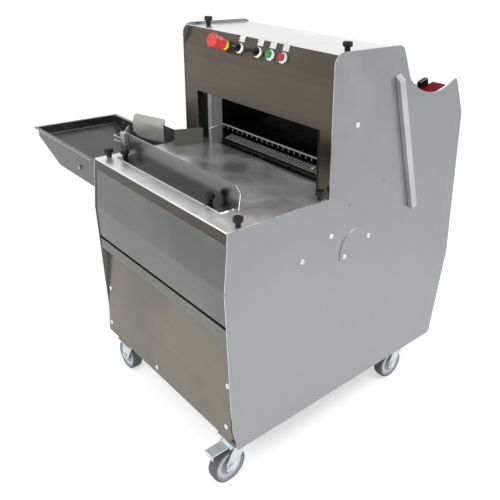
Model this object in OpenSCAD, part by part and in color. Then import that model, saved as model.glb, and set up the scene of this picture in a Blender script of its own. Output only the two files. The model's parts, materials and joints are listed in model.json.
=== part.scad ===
// Bread slicer on castors, built as separate pieces in one frame.
// Units are millimetres, +Z is up, the front faces -Y and +X is the right seen from the front.
// The origin is on the floor under the middle of the body.

/* [Body] */
// Width over the two side panels
body_w = 660; // [620:5:760]
// Length of a side panel's bottom edge, front to back
base_d = 804; // [780:2:880]
// Height of the side panels' bottom edge above the floor
castor_h = 126; // [122:1:150]
// Height of the output table above the floor
table_z = 748; // [720:2:840]
// Height of the tower above the output table
tower_h = 369; // [355:1:420]
// Depth of the output table ahead of the tower
table_d = 313; // [290:1:330]
// Depth of the tower at its top
tower_top_d = 251; // [240:1:280]
// Thickness of a side panel
panel_t = 3; // [2:0.5:4]
// Thickness of the folded sheets
sheet_t = 2; // [1:0.5:2.5]

/* [Side panel outline] */
// Front corner at table level, ahead of the bottom front corner
nose_out = 19; // [8:1:40]
// Front kink, ahead of the bottom front corner
kink_out = 32; // [20:1:60]
// Front kink, below the output table
kink_drop = 150; // [110:1:200]
// Toe of the front edge, ahead of the bottom front corner
toe_out = 17; // [8:1:24]
// Toe of the front edge, above the side panel's bottom
toe_rise = 69; // [50:1:90]
// Rear kink, behind the bottom rear corner
rear_kink_out = 53; // [30:1:70]
// Rear kink, above the panel's bottom edge
rear_kink_rise = 294; // [220:1:360]
// Upper rear corner, behind the bottom rear corner
rear_top_out = 45; // [35:1:70]
// Upper rear corner, above the output table
rear_top_rise = 144; // [130:1:180]
// Run of the sloping rear edge of the tower
notch_run = 38; // [30:1:50]
// Radius of the scoop over the infeed
scoop_r = 160; // [150:1:200]
// Middle of the scoop's rear arc, ahead of the bottom rear corner
scoop_in = 102; // [90:1:115]
// Middle of the scoop's front arc, behind the tower's rear edge
scoop_out = 119; // [105:1:130]
// Lowest point of the scoop above the output table
scoop_rise = 225; // [222:1:260]
// Rear tip of the scoop behind its middle
tip_reach = 99; // [80:1:110]

/* [Cutting unit] */
// Tilt of the blades and of the chute
blade_tilt = 15; // [10:0.5:18]
// Slice thickness
slice_pitch = 12; // [10:0.25:12.5]
// Number of slices cut at once
slice_n = 40; // [30:2:40]
// Middle of the cutting width, to the right of the body's middle
cut_x = 10; // [0:1:12]
// Loaf grid above the table at its front edge
grid_step = 13; // [10:0.5:18]
// Blades behind the tower front, measured at the loaf grid
blade_back = 293; // [285:1:300]
// Loaf grid ahead of the blades
grid_front = 237; // [225:1:245]
// Half stroke of a blade frame
crank_r = 25; // [18:1:26]
// Width of a blade
blade_w = 12; // [8:1:14]

/* [Hood] */
// Left edge of the outfeed opening, in from the side panel
open_left = 65; // [50:1:75]
// Right edge of the outfeed opening, in from the side panel
open_right = 45; // [30:1:55]
// Height of the outfeed opening above the table
open_h = 172; // [150:1:190]
// Rise of the slanted control strip
strip_rise = 55; // [52:1:65]
// Run of the slanted control strip
strip_run = 22; // [12:1:30]
// Top cover below the side panels' top edge
cover_drop = 8; // [4:1:9]

/* [Controls] */
// Diameter of the emergency stop head
estop_d = 40; // [30:1:44]
// Diameter of the control collars
collar_d = 29.5; // [26:0.5:32]
// Travel of a push button
button_travel = 4; // [2:0.5:5]
// Travel of the emergency stop
estop_travel = 5; // [3:0.5:6]

/* [Table fittings] */
// Diameter of a thumb knob's head
knob_d = 25; // [18:1:28]
// Height of a thumb knob
knob_h = 26; // [24:1:32]
// Height of the fence above the table
fence_h = 67; // [50:1:80]
// Fence plate behind the table's front edge
fence_in = 89; // [80:1:95]
// Fence adjustment towards the rear
fence_back_travel = 90; // [60:1:95]
// Fence adjustment towards the front
fence_front_travel = 12; // [6:1:14]
// Height of the corner guide above the table
guide_h = 52; // [40:1:65]

/* [Bagging trough] */
// Length of the trough beyond the side panel
trough_l = 427; // [380:1:440]
// Depth of the trough below its rim
trough_h = 92; // [75:1:110]
// Trough width, front to back
trough_w = 276; // [250:1:290]
// Length of the sloping trough end
trough_slope_l = 159; // [120:1:200]

/* [Castors] */
// Diameter of a castor wheel
wheel_d = 100; // [90:1:101]
// Width of a castor wheel
wheel_w = 32; // [26:1:34]
// Wheel axle behind the swivel axis
castor_trail = 38; // [30:1:42]
// Swivel axes, to each side of the body's middle
castor_x = 280; // [270:1:285]
// Front swivel axes, ahead of the body's middle
castor_front = 366; // [350:1:372]
// Rear swivel axes, behind the body's middle
castor_rear = 290; // [270:1:320]

/* [Drive] */
// Radius of the crankshaft pulley
crank_pulley_r = 90; // [70:1:95]
// Radius of the motor pulley
motor_pulley_r = 36; // [30:1:45]
// Radius of the motor body
motor_r = 72; // [55:1:76]

/* [Hidden] */
$fn = 48;
over = 0.5;
fit = 0.05;
run_gap = 0.5;
arc_n = 8;

// Names used by the outline
half_w = body_w / 2;
inner_x = half_w - panel_t;
base_y = base_d / 2;
nose_y = -(base_y + nose_out);
kink_y = -(base_y + kink_out);
kink_z = table_z - kink_drop;
toe_y = -(base_y + toe_out);
toe_z = castor_h + toe_rise;
rear_kink_y = base_y + rear_kink_out;
rear_kink_z = castor_h + rear_kink_rise;
rear_top_y = base_y + rear_top_out;
rear_top_z = table_z + rear_top_rise;
top_z = table_z + tower_h;
tower_y = nose_y + table_d;
tower_back_y = tower_y + tower_top_d;
notch_y = tower_back_y + notch_run;
scoop_y = base_y - scoop_in;
scoop_front_y = notch_y + scoop_out;
scoop_mid_y = (scoop_y + scoop_front_y) / 2;
scoop_z = table_z + scoop_rise + scoop_r;
notch_z = scoop_z - sqrt(pow(scoop_r, 2) - pow(scoop_out, 2));
tip_y = scoop_y + tip_reach;
tip_z = scoop_z - sqrt(pow(scoop_r, 2) - pow(tip_reach, 2));
top_front_r = 33;
top_back_r = 24;
tip_r = 12;
foot_r = 15;
kink_r = 60;
toe_r = 40;
rear_kink_r = 150;
rear_top_r = 30;
scoop_n = 7;
scoop_y0 = max(scoop_y, scoop_mid_y);
scoop_y1 = min(scoop_front_y, scoop_mid_y);
scoop_skip = scoop_y0 == scoop_y1 ? 1 : 0;

// Names used by the cutting unit
cut_w = slice_pitch * slice_n;
wall_l = cut_x - cut_w / 2;
wall_r = cut_x + cut_w / 2;
blade_y = tower_y + blade_back;
blade_z = table_z + grid_step + grid_front * sin(blade_tilt);
grid_y = blade_y - grid_front * cos(blade_tilt);
grid_bar = 10;
grid_deep = 12;
finger_w = 5;
grid_back = 50;
blade_t = 0.6;
frame_v = 14;
frame_d = 20;
bar_h = 25;
bar_top_u = 220;
bar_drop = 180;
bar_low_u = -bar_drop;
stile_gap = 8;
stile_w = 18;
stile_l_x = wall_l - sheet_t - stile_gap - stile_w;
stile_r_x = wall_r + sheet_t + stile_gap;
rod_r = 6;
rod_off = 18;
rod_l_x = stile_l_x - rod_off;
rod_r_x = stile_r_x + stile_w + rod_off;
bush_half = 14;
bush_d = 22;
bush_h = 30;
bush_rise = 185;
bush_drop = 170;
bush_us = [bush_rise, -bush_drop];
clamp_rise = 262;
clamp_drop = 240;
clamp_us = [clamp_rise, -clamp_drop];
clamp_h = 18;
clamp_half = 28;
clamp_in = 12;
tunnel_gap = 30;
tunnel_h = 182;
tunnel_set = 28;
tunnel_front_y = tower_y + tunnel_set;
tunnel_flange = 14;
chute_v0 = 32;
chute_floor_v0 = grid_back + grid_bar + run_gap;
chute_end_in = 9;
chute_wall_in = 17;
chute_v1 = (rear_top_y - chute_end_in - blade_y) / cos(blade_tilt);
chute_wall_v1 = chute_v1 - chute_wall_in;
chute_wall_h = 95;
chute_skirt = 40;

// Names used by the drive
wrist_drop = 275;
crank_drop = 470;
wrist_u = -wrist_drop;
crank_u = -crank_drop;
disc_r = 45;
disc_t = 14;
shaft_r = 12;
disc_x = 98;
pin_r = 9;
shoulder_r = 14;
rod_eye_r = 18;
small_eye_r = 13;
conrod_t = 16;
conrod_w = 14;
shoulder_l = 4;
cap_t = 4;
conrod_x = disc_x + disc_t + shoulder_l;
lug_t = 10;
pulley_w = 36;
belt_w = 22;
belt_t = 8;
belt_gap = 0.4;
stand_x = 60;
stand_t = 15;
stand_half = 36;
motor_y = 40;
motor_rise = 134;
motor_z = castor_h + motor_rise;
motor_x0 = 34;
motor_l = 190;
platform_t = 6;
tube_w = 60;
tube_h = 40;
tube_t = 3;

// Names used by the front and the hood
edge_in = 2;
lip_h = 32;
apron_in = 3;
gap_drop = 246;
gap_z = table_z - gap_drop;
gap_h = 7;
lower_in = 8;
lower_y = kink_y + lower_in;
lower_top_z = gap_z - gap_h;
lower_rise = 41;
lower_low_z = castor_h + lower_rise;
ledge_d = 18;
ledge_lip = 32;
ledge_y = front_y(lower_top_z) + apron_in;
lower_back_y = ledge_y + ledge_d;
lower_back_z = lower_top_z - ledge_lip;
lower_tilt = atan2(lower_back_y - lower_y, lower_back_z - lower_low_z);
fold_d = 18;
cover_z = top_z - cover_drop;
strip_y = tower_y + edge_in;
strip_top_y = strip_y + strip_run;
strip_fold_z = cover_z - strip_rise;
strip_tilt = atan2(strip_run, strip_rise);
strip_len = norm([strip_run, strip_rise]);
control_share = 0.38;
label_share = 0.84;
control_bore_r = 11;
control_xs = [-120, -54, 27, 80, 131];
label_xs = [-54, 27, 80, 131];

// Names used by the table fittings
table_in = 1;
table_gap = 4;
table_back_y = grid_y - table_gap;
rail_w = 26;
rail_t = 3;
screw_r = 3;
table_knob_in = 16;
table_knob_front = 39;
table_knob_back = 19;
table_knob_ys = [nose_y + table_knob_front, tower_y - table_knob_back];
cover_knob_in = 33;
cover_knob_set = 73;
cover_knob_y = tower_y + cover_knob_set;
fence_y = nose_y + fence_in;
fence_flange = 38;
fence_left_in = 20;
fence_right_in = 74;
flange_left_in = 40;
flange_right_in = 102;
fence_knob_left_in = 64;
fence_knob_right_in = 166;
fence_knob_set = 24;
fence_x0 = -(half_w - fence_left_in);
fence_x1 = half_w - fence_right_in;
fence_flange_x0 = -(half_w - flange_left_in);
fence_flange_x1 = half_w - flange_right_in;
fence_knob_xs = [-(half_w - fence_knob_left_in), half_w - fence_knob_right_in];
fence_knob_y = fence_y - fence_knob_set;
fence_screw_r = 4;
slot_half = 4.5;

function unit(v) = v / norm(v);
function left_normal(a, b) = let(d = unit(b - a)) [-d[1], d[0]];
function xy(p) = [p[0], p[1]];
// One corner of a path, rounded into a row of points
function corner_arc(p, q, s, r, n) =
    r == 0 ? [q] :
    let(a = unit(p - q), b = unit(s - q), half = acos(a * b) / 2)
    let(c = q + unit(a + b) * r / sin(half))
    let(t1 = q + a * r / tan(half) - c, t2 = q + b * r / tan(half) - c)
    let(a1 = atan2(t1[1], t1[0]), turn = atan2(t1[0] * t2[1] - t1[1] * t2[0], t1 * t2))
    [for (i = [0 : n]) c + r * [cos(a1 + turn * i / n), sin(a1 + turn * i / n)]];
// A closed path of [x, y, radius] corners
function round_path(pts, n = arc_n) = let(m = len(pts)) [
    for (i = [0 : m - 1])
        each corner_arc(xy(pts[(i + m - 1) % m]), xy(pts[i]), xy(pts[(i + 1) % m]), pts[i][2], n)
];
// An open path moved to its left by d, corners mitred
function shifted(pts, d) = let(m = len(pts)) [
    for (i = [0 : m - 1])
        let(n1 = i == 0 ? left_normal(pts[0], pts[1]) : left_normal(pts[i - 1], pts[i]))
        let(n2 = i == m - 1 ? n1 : left_normal(pts[i], pts[i + 1]))
        pts[i] + d * (n1 + n2) / (1 + n1 * n2)
];
function flipped(pts) = [for (i = [len(pts) - 1 : -1 : 0]) pts[i]];
// The section of a folded sheet on the left of an open path
function sheet_path(pts, t = sheet_t) = concat(pts, flipped(shifted(pts, t)));
// The outer line of a belt round two pulleys
function belt_line(c1, r1, c2, r2, n) =
    let(d = c2 - c1, base = atan2(d[1], d[0]), lean = acos((r1 - r2) / norm(d)))
    concat(
        [for (i = [0 : n]) let(a = base + lean + (360 - 2 * lean) * i / n) c1 + r1 * [cos(a), sin(a)]],
        [for (i = [0 : n]) let(a = base - lean + 2 * lean * i / n) c2 + r2 * [cos(a), sin(a)]]
    );

// A plate drawn in Y and Z, from x0 towards +X
module yz_slab(x0, t, pts) {
    translate([x0, 0, 0]) rotate([90, 0, 90]) linear_extrude(t) polygon(pts);
}
// A plate drawn in X and Z, from y0 towards +Y
module xz_slab(y0, t, pts) {
    translate([0, y0 + t, 0]) rotate([90, 0, 0]) linear_extrude(t) polygon(pts);
}
// A box from its low corner to its high corner
module span(lo, hi) {
    translate(lo) cube(hi - lo);
}
// A cylinder along X between two stations
module x_bar(x0, x1, y, z, r) {
    translate([x0, y, z]) rotate([0, 90, 0]) cylinder(h = x1 - x0, r = r);
}
// The frame of the blades and the chute: Y up the chute, Z along the blades
module on_slope() {
    translate([0, blade_y, blade_z]) rotate([blade_tilt, 0, 0]) children();
}
// A place on the control strip: Y up the strip, Z out of it
module on_strip(x, share) {
    translate([x, strip_y + strip_run * share, strip_fold_z + strip_rise * share])
        rotate([90 - strip_tilt, 0, 0]) children();
}

// Side panels

outline = round_path(concat(
    [[-base_y, castor_h, edge_in], [base_y, castor_h, foot_r], [rear_kink_y, rear_kink_z, rear_kink_r],
     [rear_top_y, rear_top_z, rear_top_r], [tip_y, tip_z, tip_r]],
    [for (i = [1 : scoop_n])
        let(y = tip_y + (scoop_y0 - tip_y) * i / scoop_n)
        [y, scoop_z - sqrt(pow(scoop_r, 2) - pow(y - scoop_y, 2)), 0]],
    [for (i = [scoop_skip : scoop_n])
        let(y = scoop_y1 + (notch_y - scoop_y1) * i / scoop_n)
        [y, scoop_z - sqrt(pow(scoop_r, 2) - pow(y - scoop_front_y, 2)), 0]],
    [[tower_back_y, top_z, top_back_r], [tower_y, top_z, top_front_r], [tower_y, table_z, edge_in],
     [nose_y, table_z, edge_in], [kink_y, kink_z, kink_r], [toe_y, toe_z, toe_r]]
));

panel_screw_r = 2.5;
panel_head_r = 6;
panel_head_h = 2.5;
// Screws in a side panel: shares of the tower's depth, of the table's depth, of the heights
tower_screw_shares = [0.36, 0.49];
apron_screw_shares = [0.05, 0.29];
front_screw_shares = [-0.28, 0.02];
side_screws = [
    [tower_y + tower_top_d * tower_screw_shares[0], table_z + tower_h * tower_screw_shares[1]],
    [tower_y + tower_top_d * apron_screw_shares[0], kink_z + kink_drop * apron_screw_shares[1]],
    [tower_y + table_d * front_screw_shares[0], kink_z + kink_drop * front_screw_shares[1]]
];
module side_screw_holes(x0) {
    for (s = side_screws)
        x_bar(x0 - over, x0 + panel_t + over, s[0], s[1], panel_screw_r + fit);
}
module side_panel(x0) {
    difference() {
        yz_slab(x0, panel_t, outline);
        side_screw_holes(x0);
    }
}
module left_side_panel() {
    color("silver") side_panel(-half_w);
}
module right_side_panel() {
    color("silver") side_panel(inner_x);
}
module side_screw(x0, dir, s) {
    translate([x0, s[0], s[1]]) rotate([0, 90 * dir, 0]) {
        cylinder(h = panel_head_h, r1 = panel_head_r, r2 = panel_head_r - panel_head_h / 2);
        translate([0, 0, -panel_t]) cylinder(h = panel_t, r = panel_screw_r);
    }
}

// Base frame

long_tube_y = base_y - edge_in * 2;
mid_tube_y = 150;
cross_tube_ys = [-long_tube_y, mid_tube_y, long_tube_y - tube_h];
platform_reach = 110;
platform_y0 = -platform_reach;
platform_x = inner_x - tube_w / 2;
module tube(lo, hi, axis) {
    wall = [axis == 0 ? -over : tube_t, axis == 1 ? -over : tube_t, axis == 2 ? -over : tube_t];
    difference() {
        span(lo, hi);
        span(lo + wall, hi - wall);
    }
}
module base_frame() {
    color("gray") {
        for (x0 = [-inner_x, inner_x - tube_w])
            tube([x0, -long_tube_y, castor_h], [x0 + tube_w, long_tube_y, castor_h + tube_h], 1);
        for (y0 = cross_tube_ys)
            tube([-(inner_x - tube_w), y0, castor_h], [inner_x - tube_w, y0 + tube_h, castor_h + tube_h], 0);
        span([-platform_x, platform_y0, castor_h + tube_h],
            [platform_x, long_tube_y - tube_h / 2, castor_h + tube_h + platform_t]);
    }
}

// Front and rear sheets

function front_y(z) = z > kink_z
    ? nose_y + (kink_y - nose_y) * (table_z - z) / kink_drop
    : kink_y + (toe_y - kink_y) * (kink_z - z) / (kink_z - toe_z);
sheet_x = inner_x - run_gap;
apron_top_z = table_z - sheet_t - run_gap;
module front_apron() {
    color("silver") yz_slab(-sheet_x, 2 * sheet_x, sheet_path([
        [front_y(gap_z) + apron_in + fold_d, gap_z],
        [front_y(gap_z) + apron_in, gap_z],
        [kink_y + apron_in, kink_z],
        [front_y(apron_top_z) + apron_in, apron_top_z]
    ], -sheet_t));
}
lower_screw_h = 2;
lower_x = inner_x - run_gap;
// Screws in the lower front panel: shares of its half width and of its height up to the ledge
lower_screw_shares = [[-0.95, 0.52], [-0.95, 0.11], [-0.09, 0.07], [0.95, 0.53], [0.95, 0.12]];
lower_screw_len = 10;
module lower_screws() {
    for (s = lower_screw_shares)
        translate([lower_x * s[0], lower_y + (lower_back_y - lower_y) * s[1],
            lower_low_z + (lower_back_z - lower_low_z) * s[1]])
            rotate([90 - lower_tilt, 0, 0]) children();
}
module lower_front_panel() {
    color("silver") difference() {
        union() {
            yz_slab(-lower_x, 2 * lower_x, sheet_path([
                [lower_y + ledge_d, lower_low_z],
                [lower_y, lower_low_z],
                [lower_back_y, lower_back_z],
                [ledge_y, lower_back_z],
                [ledge_y, lower_top_z],
                [ledge_y + ledge_d, lower_top_z]
            ], -sheet_t));
            for (x0 = [-lower_x, lower_x - sheet_t])
                yz_slab(x0, sheet_t, [
                    [lower_y + sheet_t / 2, lower_low_z + sheet_t / 2],
                    [lower_y + fold_d * 2, lower_low_z + sheet_t / 2],
                    [lower_back_y + fold_d * 2, lower_back_z + sheet_t / 2],
                    [lower_back_y + sheet_t / 2, lower_back_z + sheet_t / 2]
                ]);
        }
        lower_screws() translate([0, 0, -sheet_t - over])
            cylinder(h = sheet_t + 2 * over, r = panel_screw_r + fit);
    }
}
rear_low_z = castor_h + tube_h + run_gap;
rear_high_drop = 22;
rear_high_z = rear_top_z - rear_high_drop;
rear_in = 3;
function rear_y(z) = z > rear_kink_z
    ? rear_kink_y + (rear_top_y - rear_kink_y) * (z - rear_kink_z) / (rear_top_z - rear_kink_z)
    : base_y + (rear_kink_y - base_y) * (z - castor_h) / rear_kink_rise;
module rear_panel() {
    color("silver") yz_slab(-sheet_x, 2 * sheet_x, sheet_path([
        [rear_y(rear_low_z) - rear_in - fold_d, rear_low_z],
        [rear_y(rear_low_z) - rear_in, rear_low_z],
        [rear_kink_y - rear_in, rear_kink_z],
        [rear_y(rear_high_z) - rear_in, rear_high_z],
        [rear_y(rear_high_z) - rear_in - fold_d, rear_high_z]
    ]));
}

// Output table and its fittings

module fence_slot(x) {
    y0 = fence_knob_y - fence_front_travel;
    y1 = fence_knob_y + fence_back_travel;
    for (y = [y0, y1])
        translate([x, y, table_z - sheet_t - over]) cylinder(h = sheet_t + 2 * over, r = slot_half);
    span([x - slot_half, y0, table_z - sheet_t - over], [x + slot_half, y1, table_z + over]);
}
module at_table_knobs() {
    for (x = [-(half_w - table_knob_in), half_w - table_knob_in])
        for (y = table_knob_ys)
            translate([x, y, table_z]) children();
}
module output_table() {
    x1 = inner_x - table_in;
    color("lightgray") difference() {
        yz_slab(-x1, 2 * x1, sheet_path([
            [table_back_y, table_z], [nose_y, table_z], [front_y(table_z - lip_h), table_z - lip_h]
        ]));
        for (x = fence_knob_xs)
            fence_slot(x);
        at_table_knobs() translate([0, 0, -sheet_t - over])
            cylinder(h = sheet_t + 2 * over, r = screw_r + fit);
    }
}
tray_drop = 110;
rail_set = 24;
tray_clear = 30;
tray_z = table_z - tray_drop;
rail_front_y = nose_y + rail_set;
tray_back_y = blade_y - tray_clear;
module inner_rails() {
    color("gray") for (s = [-1, 1]) {
        x_out = s * inner_x;
        x_in = s * (inner_x - rail_w);
        z1 = table_z - sheet_t;
        difference() {
            union() {
                span([min(x_out, x_in), rail_front_y, z1 - rail_t], [max(x_out, x_in), table_back_y, z1]);
                span([min(x_out, x_out - s * rail_t), rail_front_y, z1 - rail_w],
                    [max(x_out, x_out - s * rail_t), table_back_y, z1 - rail_t]);
            }
            at_table_knobs() translate([0, 0, -sheet_t - rail_t - over])
                cylinder(h = rail_t + 2 * over, r = screw_r + fit);
        }
        span([min(x_out, x_in), rail_front_y, tray_z - rail_t], [max(x_out, x_in), tray_back_y, tray_z]);
        span([min(x_out, x_out - s * rail_t), rail_front_y, tray_z - rail_w],
            [max(x_out, x_out - s * rail_t), tray_back_y, tray_z - rail_t]);
    }
}
tray_h = 58;
tray_gap = 6;
module crumb_tray() {
    x1 = inner_x - tray_gap;
    y0 = rail_front_y + tray_gap;
    y1 = tray_back_y - tray_gap;
    color("silver") difference() {
        span([-x1, y0, tray_z], [x1, y1, tray_z + tray_h]);
        span([-x1 + sheet_t, y0 + sheet_t, tray_z + sheet_t],
            [x1 - sheet_t, y1 - sheet_t, tray_z + tray_h + over]);
    }
}
knob_stem_share = 0.5;
knob_round_share = 0.14;
knob_neck_share = 0.6;
module thumb_knob(shank) {
    r = knob_d / 2;
    stem = knob_h * knob_stem_share;
    round = knob_d * knob_round_share;
    neck_r = r * knob_neck_share;
    rotate_extrude() polygon([
        [0, -shank], [screw_r, -shank], [screw_r, 0], [neck_r, 0], [neck_r, stem],
        [r, stem], [r, knob_h - round], [r - round, knob_h], [0, knob_h]
    ]);
}
knob_shank = 14;
module thumb_knobs() {
    color("black") {
        at_table_knobs() thumb_knob(knob_shank);
        for (x = [-(half_w - cover_knob_in), half_w - cover_knob_in])
            translate([x, cover_knob_y, cover_z]) thumb_knob(knob_shank);
    }
}

// Fence with its bag clamp

flare_l = 55;
flare_turn = 40;
fence_end_low_share = 0.2;
fence_chamfer = 18;
flare_rise = 8;
flare_tip_x = fence_x0 - flare_l * cos(flare_turn);
flare_tip_y = fence_y + flare_l * sin(flare_turn);
module fence() {
    z0 = table_z + sheet_t;
    z1 = table_z + fence_h;
    z_end = table_z + fence_h * fence_end_low_share;
    color("silver") difference() {
        union() {
            intersection() {
                translate([0, 0, z0]) linear_extrude(fence_h + flare_rise) polygon(sheet_path([
                    [fence_x1, fence_y], [fence_x0, fence_y], [flare_tip_x, flare_tip_y]
                ], -sheet_t));
                xz_slab(fence_y - sheet_t, flare_l, [
                    [fence_x0, z0], [fence_x1 - fence_chamfer / 2, z0], [fence_x1, z1 - fence_chamfer],
                    [fence_x1 - fence_chamfer, z1], [fence_x0, z1], [flare_tip_x - flare_l, z1 + flare_rise],
                    [flare_tip_x - flare_l, z_end], [fence_x0, z_end]
                ]);
            }
            span([fence_flange_x0, fence_y - fence_flange, table_z],
                [fence_flange_x1, fence_y + sheet_t, z0]);
        }
        for (x = fence_knob_xs)
            translate([x, fence_knob_y, table_z - over])
                cylinder(h = sheet_t + 2 * over, r = fence_screw_r + fit);
    }
}
fence_nut_r = 9;
fence_nut_h = 5;
module fence_knobs() {
    stem = knob_h * knob_stem_share;
    r = knob_d / 2;
    round = knob_d * knob_round_share;
    neck_r = r * knob_neck_share;
    nut_z = -2 * sheet_t - run_gap;
    color("black") for (x = fence_knob_xs)
        translate([x, fence_knob_y, table_z + sheet_t]) rotate_extrude() polygon([
            [0, nut_z - fence_nut_h], [fence_nut_r, nut_z - fence_nut_h], [fence_nut_r, nut_z],
            [fence_screw_r, nut_z], [fence_screw_r, 0], [neck_r, 0], [neck_r, stem],
            [r, stem], [r, knob_h - round], [r - round, knob_h], [0, knob_h]
        ]);
}
clamp_set = 32;
clamp_x = -(half_w - clamp_set);
clamp_w = 26;
clamp_d = 14;
clamp_low = 20;
clamp_high = 70;
clamp_z0 = table_z + clamp_low;
clamp_z1 = table_z + clamp_high;
clamp_slot_share = 0.25;
clamp_rod_r = 2.5;
clamp_ball_r = 5;
clamp_rod_l = 46;
lever_pin_set = 4;
lever_pin_x = clamp_x + lever_pin_set;
lever_pin_r = 3;
clamp_rod_rise = 46;
lever_rise = 32;
clamp_rod_z = table_z + clamp_rod_rise;
lever_z = table_z + lever_rise;
lever_half = 6;
lever_bar_half = 3;
ball_n = 14;
ball_stop = acos(clamp_rod_r / clamp_ball_r);
ball_start = 75;
// A rod along X with a ball on its near end, turned as one profile
module ball_rod(l) {
    rotate([0, 90, 0]) rotate_extrude() polygon(concat(
        [[0, -clamp_ball_r * sin(ball_start)]],
        [for (i = [0 : ball_n]) let(a = (ball_stop + ball_start) * i / ball_n - ball_start)
            clamp_ball_r * [cos(a), sin(a)]],
        [[clamp_rod_r, l], [0, l]]
    ));
}
module bag_clamp() {
    y0 = fence_y - clamp_d;
    color("lightgray") {
        difference() {
            span([clamp_x - clamp_w / 2, y0, clamp_z0], [clamp_x + clamp_w / 2, fence_y, clamp_z1]);
            span([clamp_x - clamp_w / 2 - over, y0 + clamp_d * clamp_slot_share,
                lever_z - lever_half - run_gap],
                [clamp_x + clamp_w / 2 + over, fence_y - clamp_d * clamp_slot_share,
                    lever_z + lever_half + run_gap]);
        }
        translate([lever_pin_x, fence_y - clamp_d * clamp_slot_share, lever_z]) rotate([90, 0, 0])
            cylinder(h = clamp_d / 2, r = lever_pin_r);
        translate([clamp_x - clamp_w / 2 - clamp_rod_l, fence_y - clamp_d / 2, clamp_rod_z])
            ball_rod(clamp_rod_l);
    }
}
module bag_clamp_lever() {
    y0 = fence_y - clamp_d * (1 - clamp_slot_share) + run_gap;
    y1 = fence_y - clamp_d * clamp_slot_share - run_gap;
    x_tip = clamp_x - clamp_w / 2 - clamp_rod_l;
    color("lightgray") {
        difference() {
            union() {
                translate([lever_pin_x, y1, lever_z]) rotate([90, 0, 0])
                    cylinder(h = y1 - y0, r = lever_half);
                span([x_tip + clamp_ball_r * 3, y0, lever_z - lever_bar_half],
                    [lever_pin_x, y1, lever_z + lever_bar_half]);
            }
            translate([lever_pin_x, y1 + over, lever_z]) rotate([90, 0, 0])
                cylinder(h = y1 - y0 + 2 * over, r = lever_pin_r + fit);
        }
        translate([x_tip, fence_y - clamp_d / 2, lever_z]) ball_rod(clamp_ball_r * 4);
    }
}

// Corner guide and nozzle plate

guide_set = 69;
guide_left_in = 40;
guide_left_out = 25;
guide_reach = 14;
guide_y = tower_y - guide_set;
guide_x = -(half_w - guide_left_in);
guide_x0 = -(half_w + guide_left_out);
guide_back_y = tower_y + guide_reach;
guide_back_x = -half_w + open_left + sheet_t * 4;
module corner_guide() {
    z1 = table_z + guide_h;
    color("silver") difference() {
        union() {
            translate([0, 0, table_z]) linear_extrude(guide_h) polygon(sheet_path([
                [guide_back_x, guide_back_y], [guide_x, guide_y], [guide_x0, guide_y]
            ], -sheet_t));
            span([-(inner_x - table_in), guide_y + sheet_t, table_z],
                [guide_x, tower_y - run_gap * 2, table_z + sheet_t]);
        }
        translate([-(half_w - table_knob_in), table_knob_ys[1], table_z - over])
            cylinder(h = sheet_t + 2 * over, r = knob_d / 2);
    }
}
nozzle_l = 136;
nozzle_turn = 16;
nozzle_low = 8;
nozzle_chamfer = 30;
nozzle_flange = 28;
nozzle_lean = 25;
nozzle_strap = 30;
nozzle_r = 8;
nozzle_h_share = 0.82;
nozzle_lap = 6;
module nozzle_plate() {
    z0 = table_z - nozzle_low;
    z1 = table_z + guide_h * nozzle_h_share;
    z2 = z1 + nozzle_flange * cos(nozzle_lean);
    x1 = guide_x0 - sheet_t;
    y1 = guide_y + sheet_t;
    color("silver") {
        translate([x1, y1, 0]) rotate([0, 0, nozzle_turn]) intersection() {
            yz_slab(-nozzle_l, nozzle_l, sheet_path([
                [0, z0], [0, z1], [nozzle_flange * sin(nozzle_lean), z2]
            ], -sheet_t));
            xz_slab(-sheet_t, nozzle_flange, round_path([
                [0, z0, 0], [0, z2 - sheet_t, nozzle_r], [-nozzle_l, z2 - sheet_t, nozzle_r],
                [-nozzle_l, table_z + nozzle_low, 0], [-nozzle_l + nozzle_chamfer, z0, 0]
            ]));
        }
        translate([0, 0, table_z]) linear_extrude(z1 - table_z - nozzle_low) polygon(sheet_path([
            [x1 + nozzle_strap, y1], [x1, y1],
                [x1 - nozzle_lap * cos(nozzle_turn), y1 - nozzle_lap * sin(nozzle_turn)]
        ], -sheet_t));
    }
}

// Bagging trough

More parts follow.
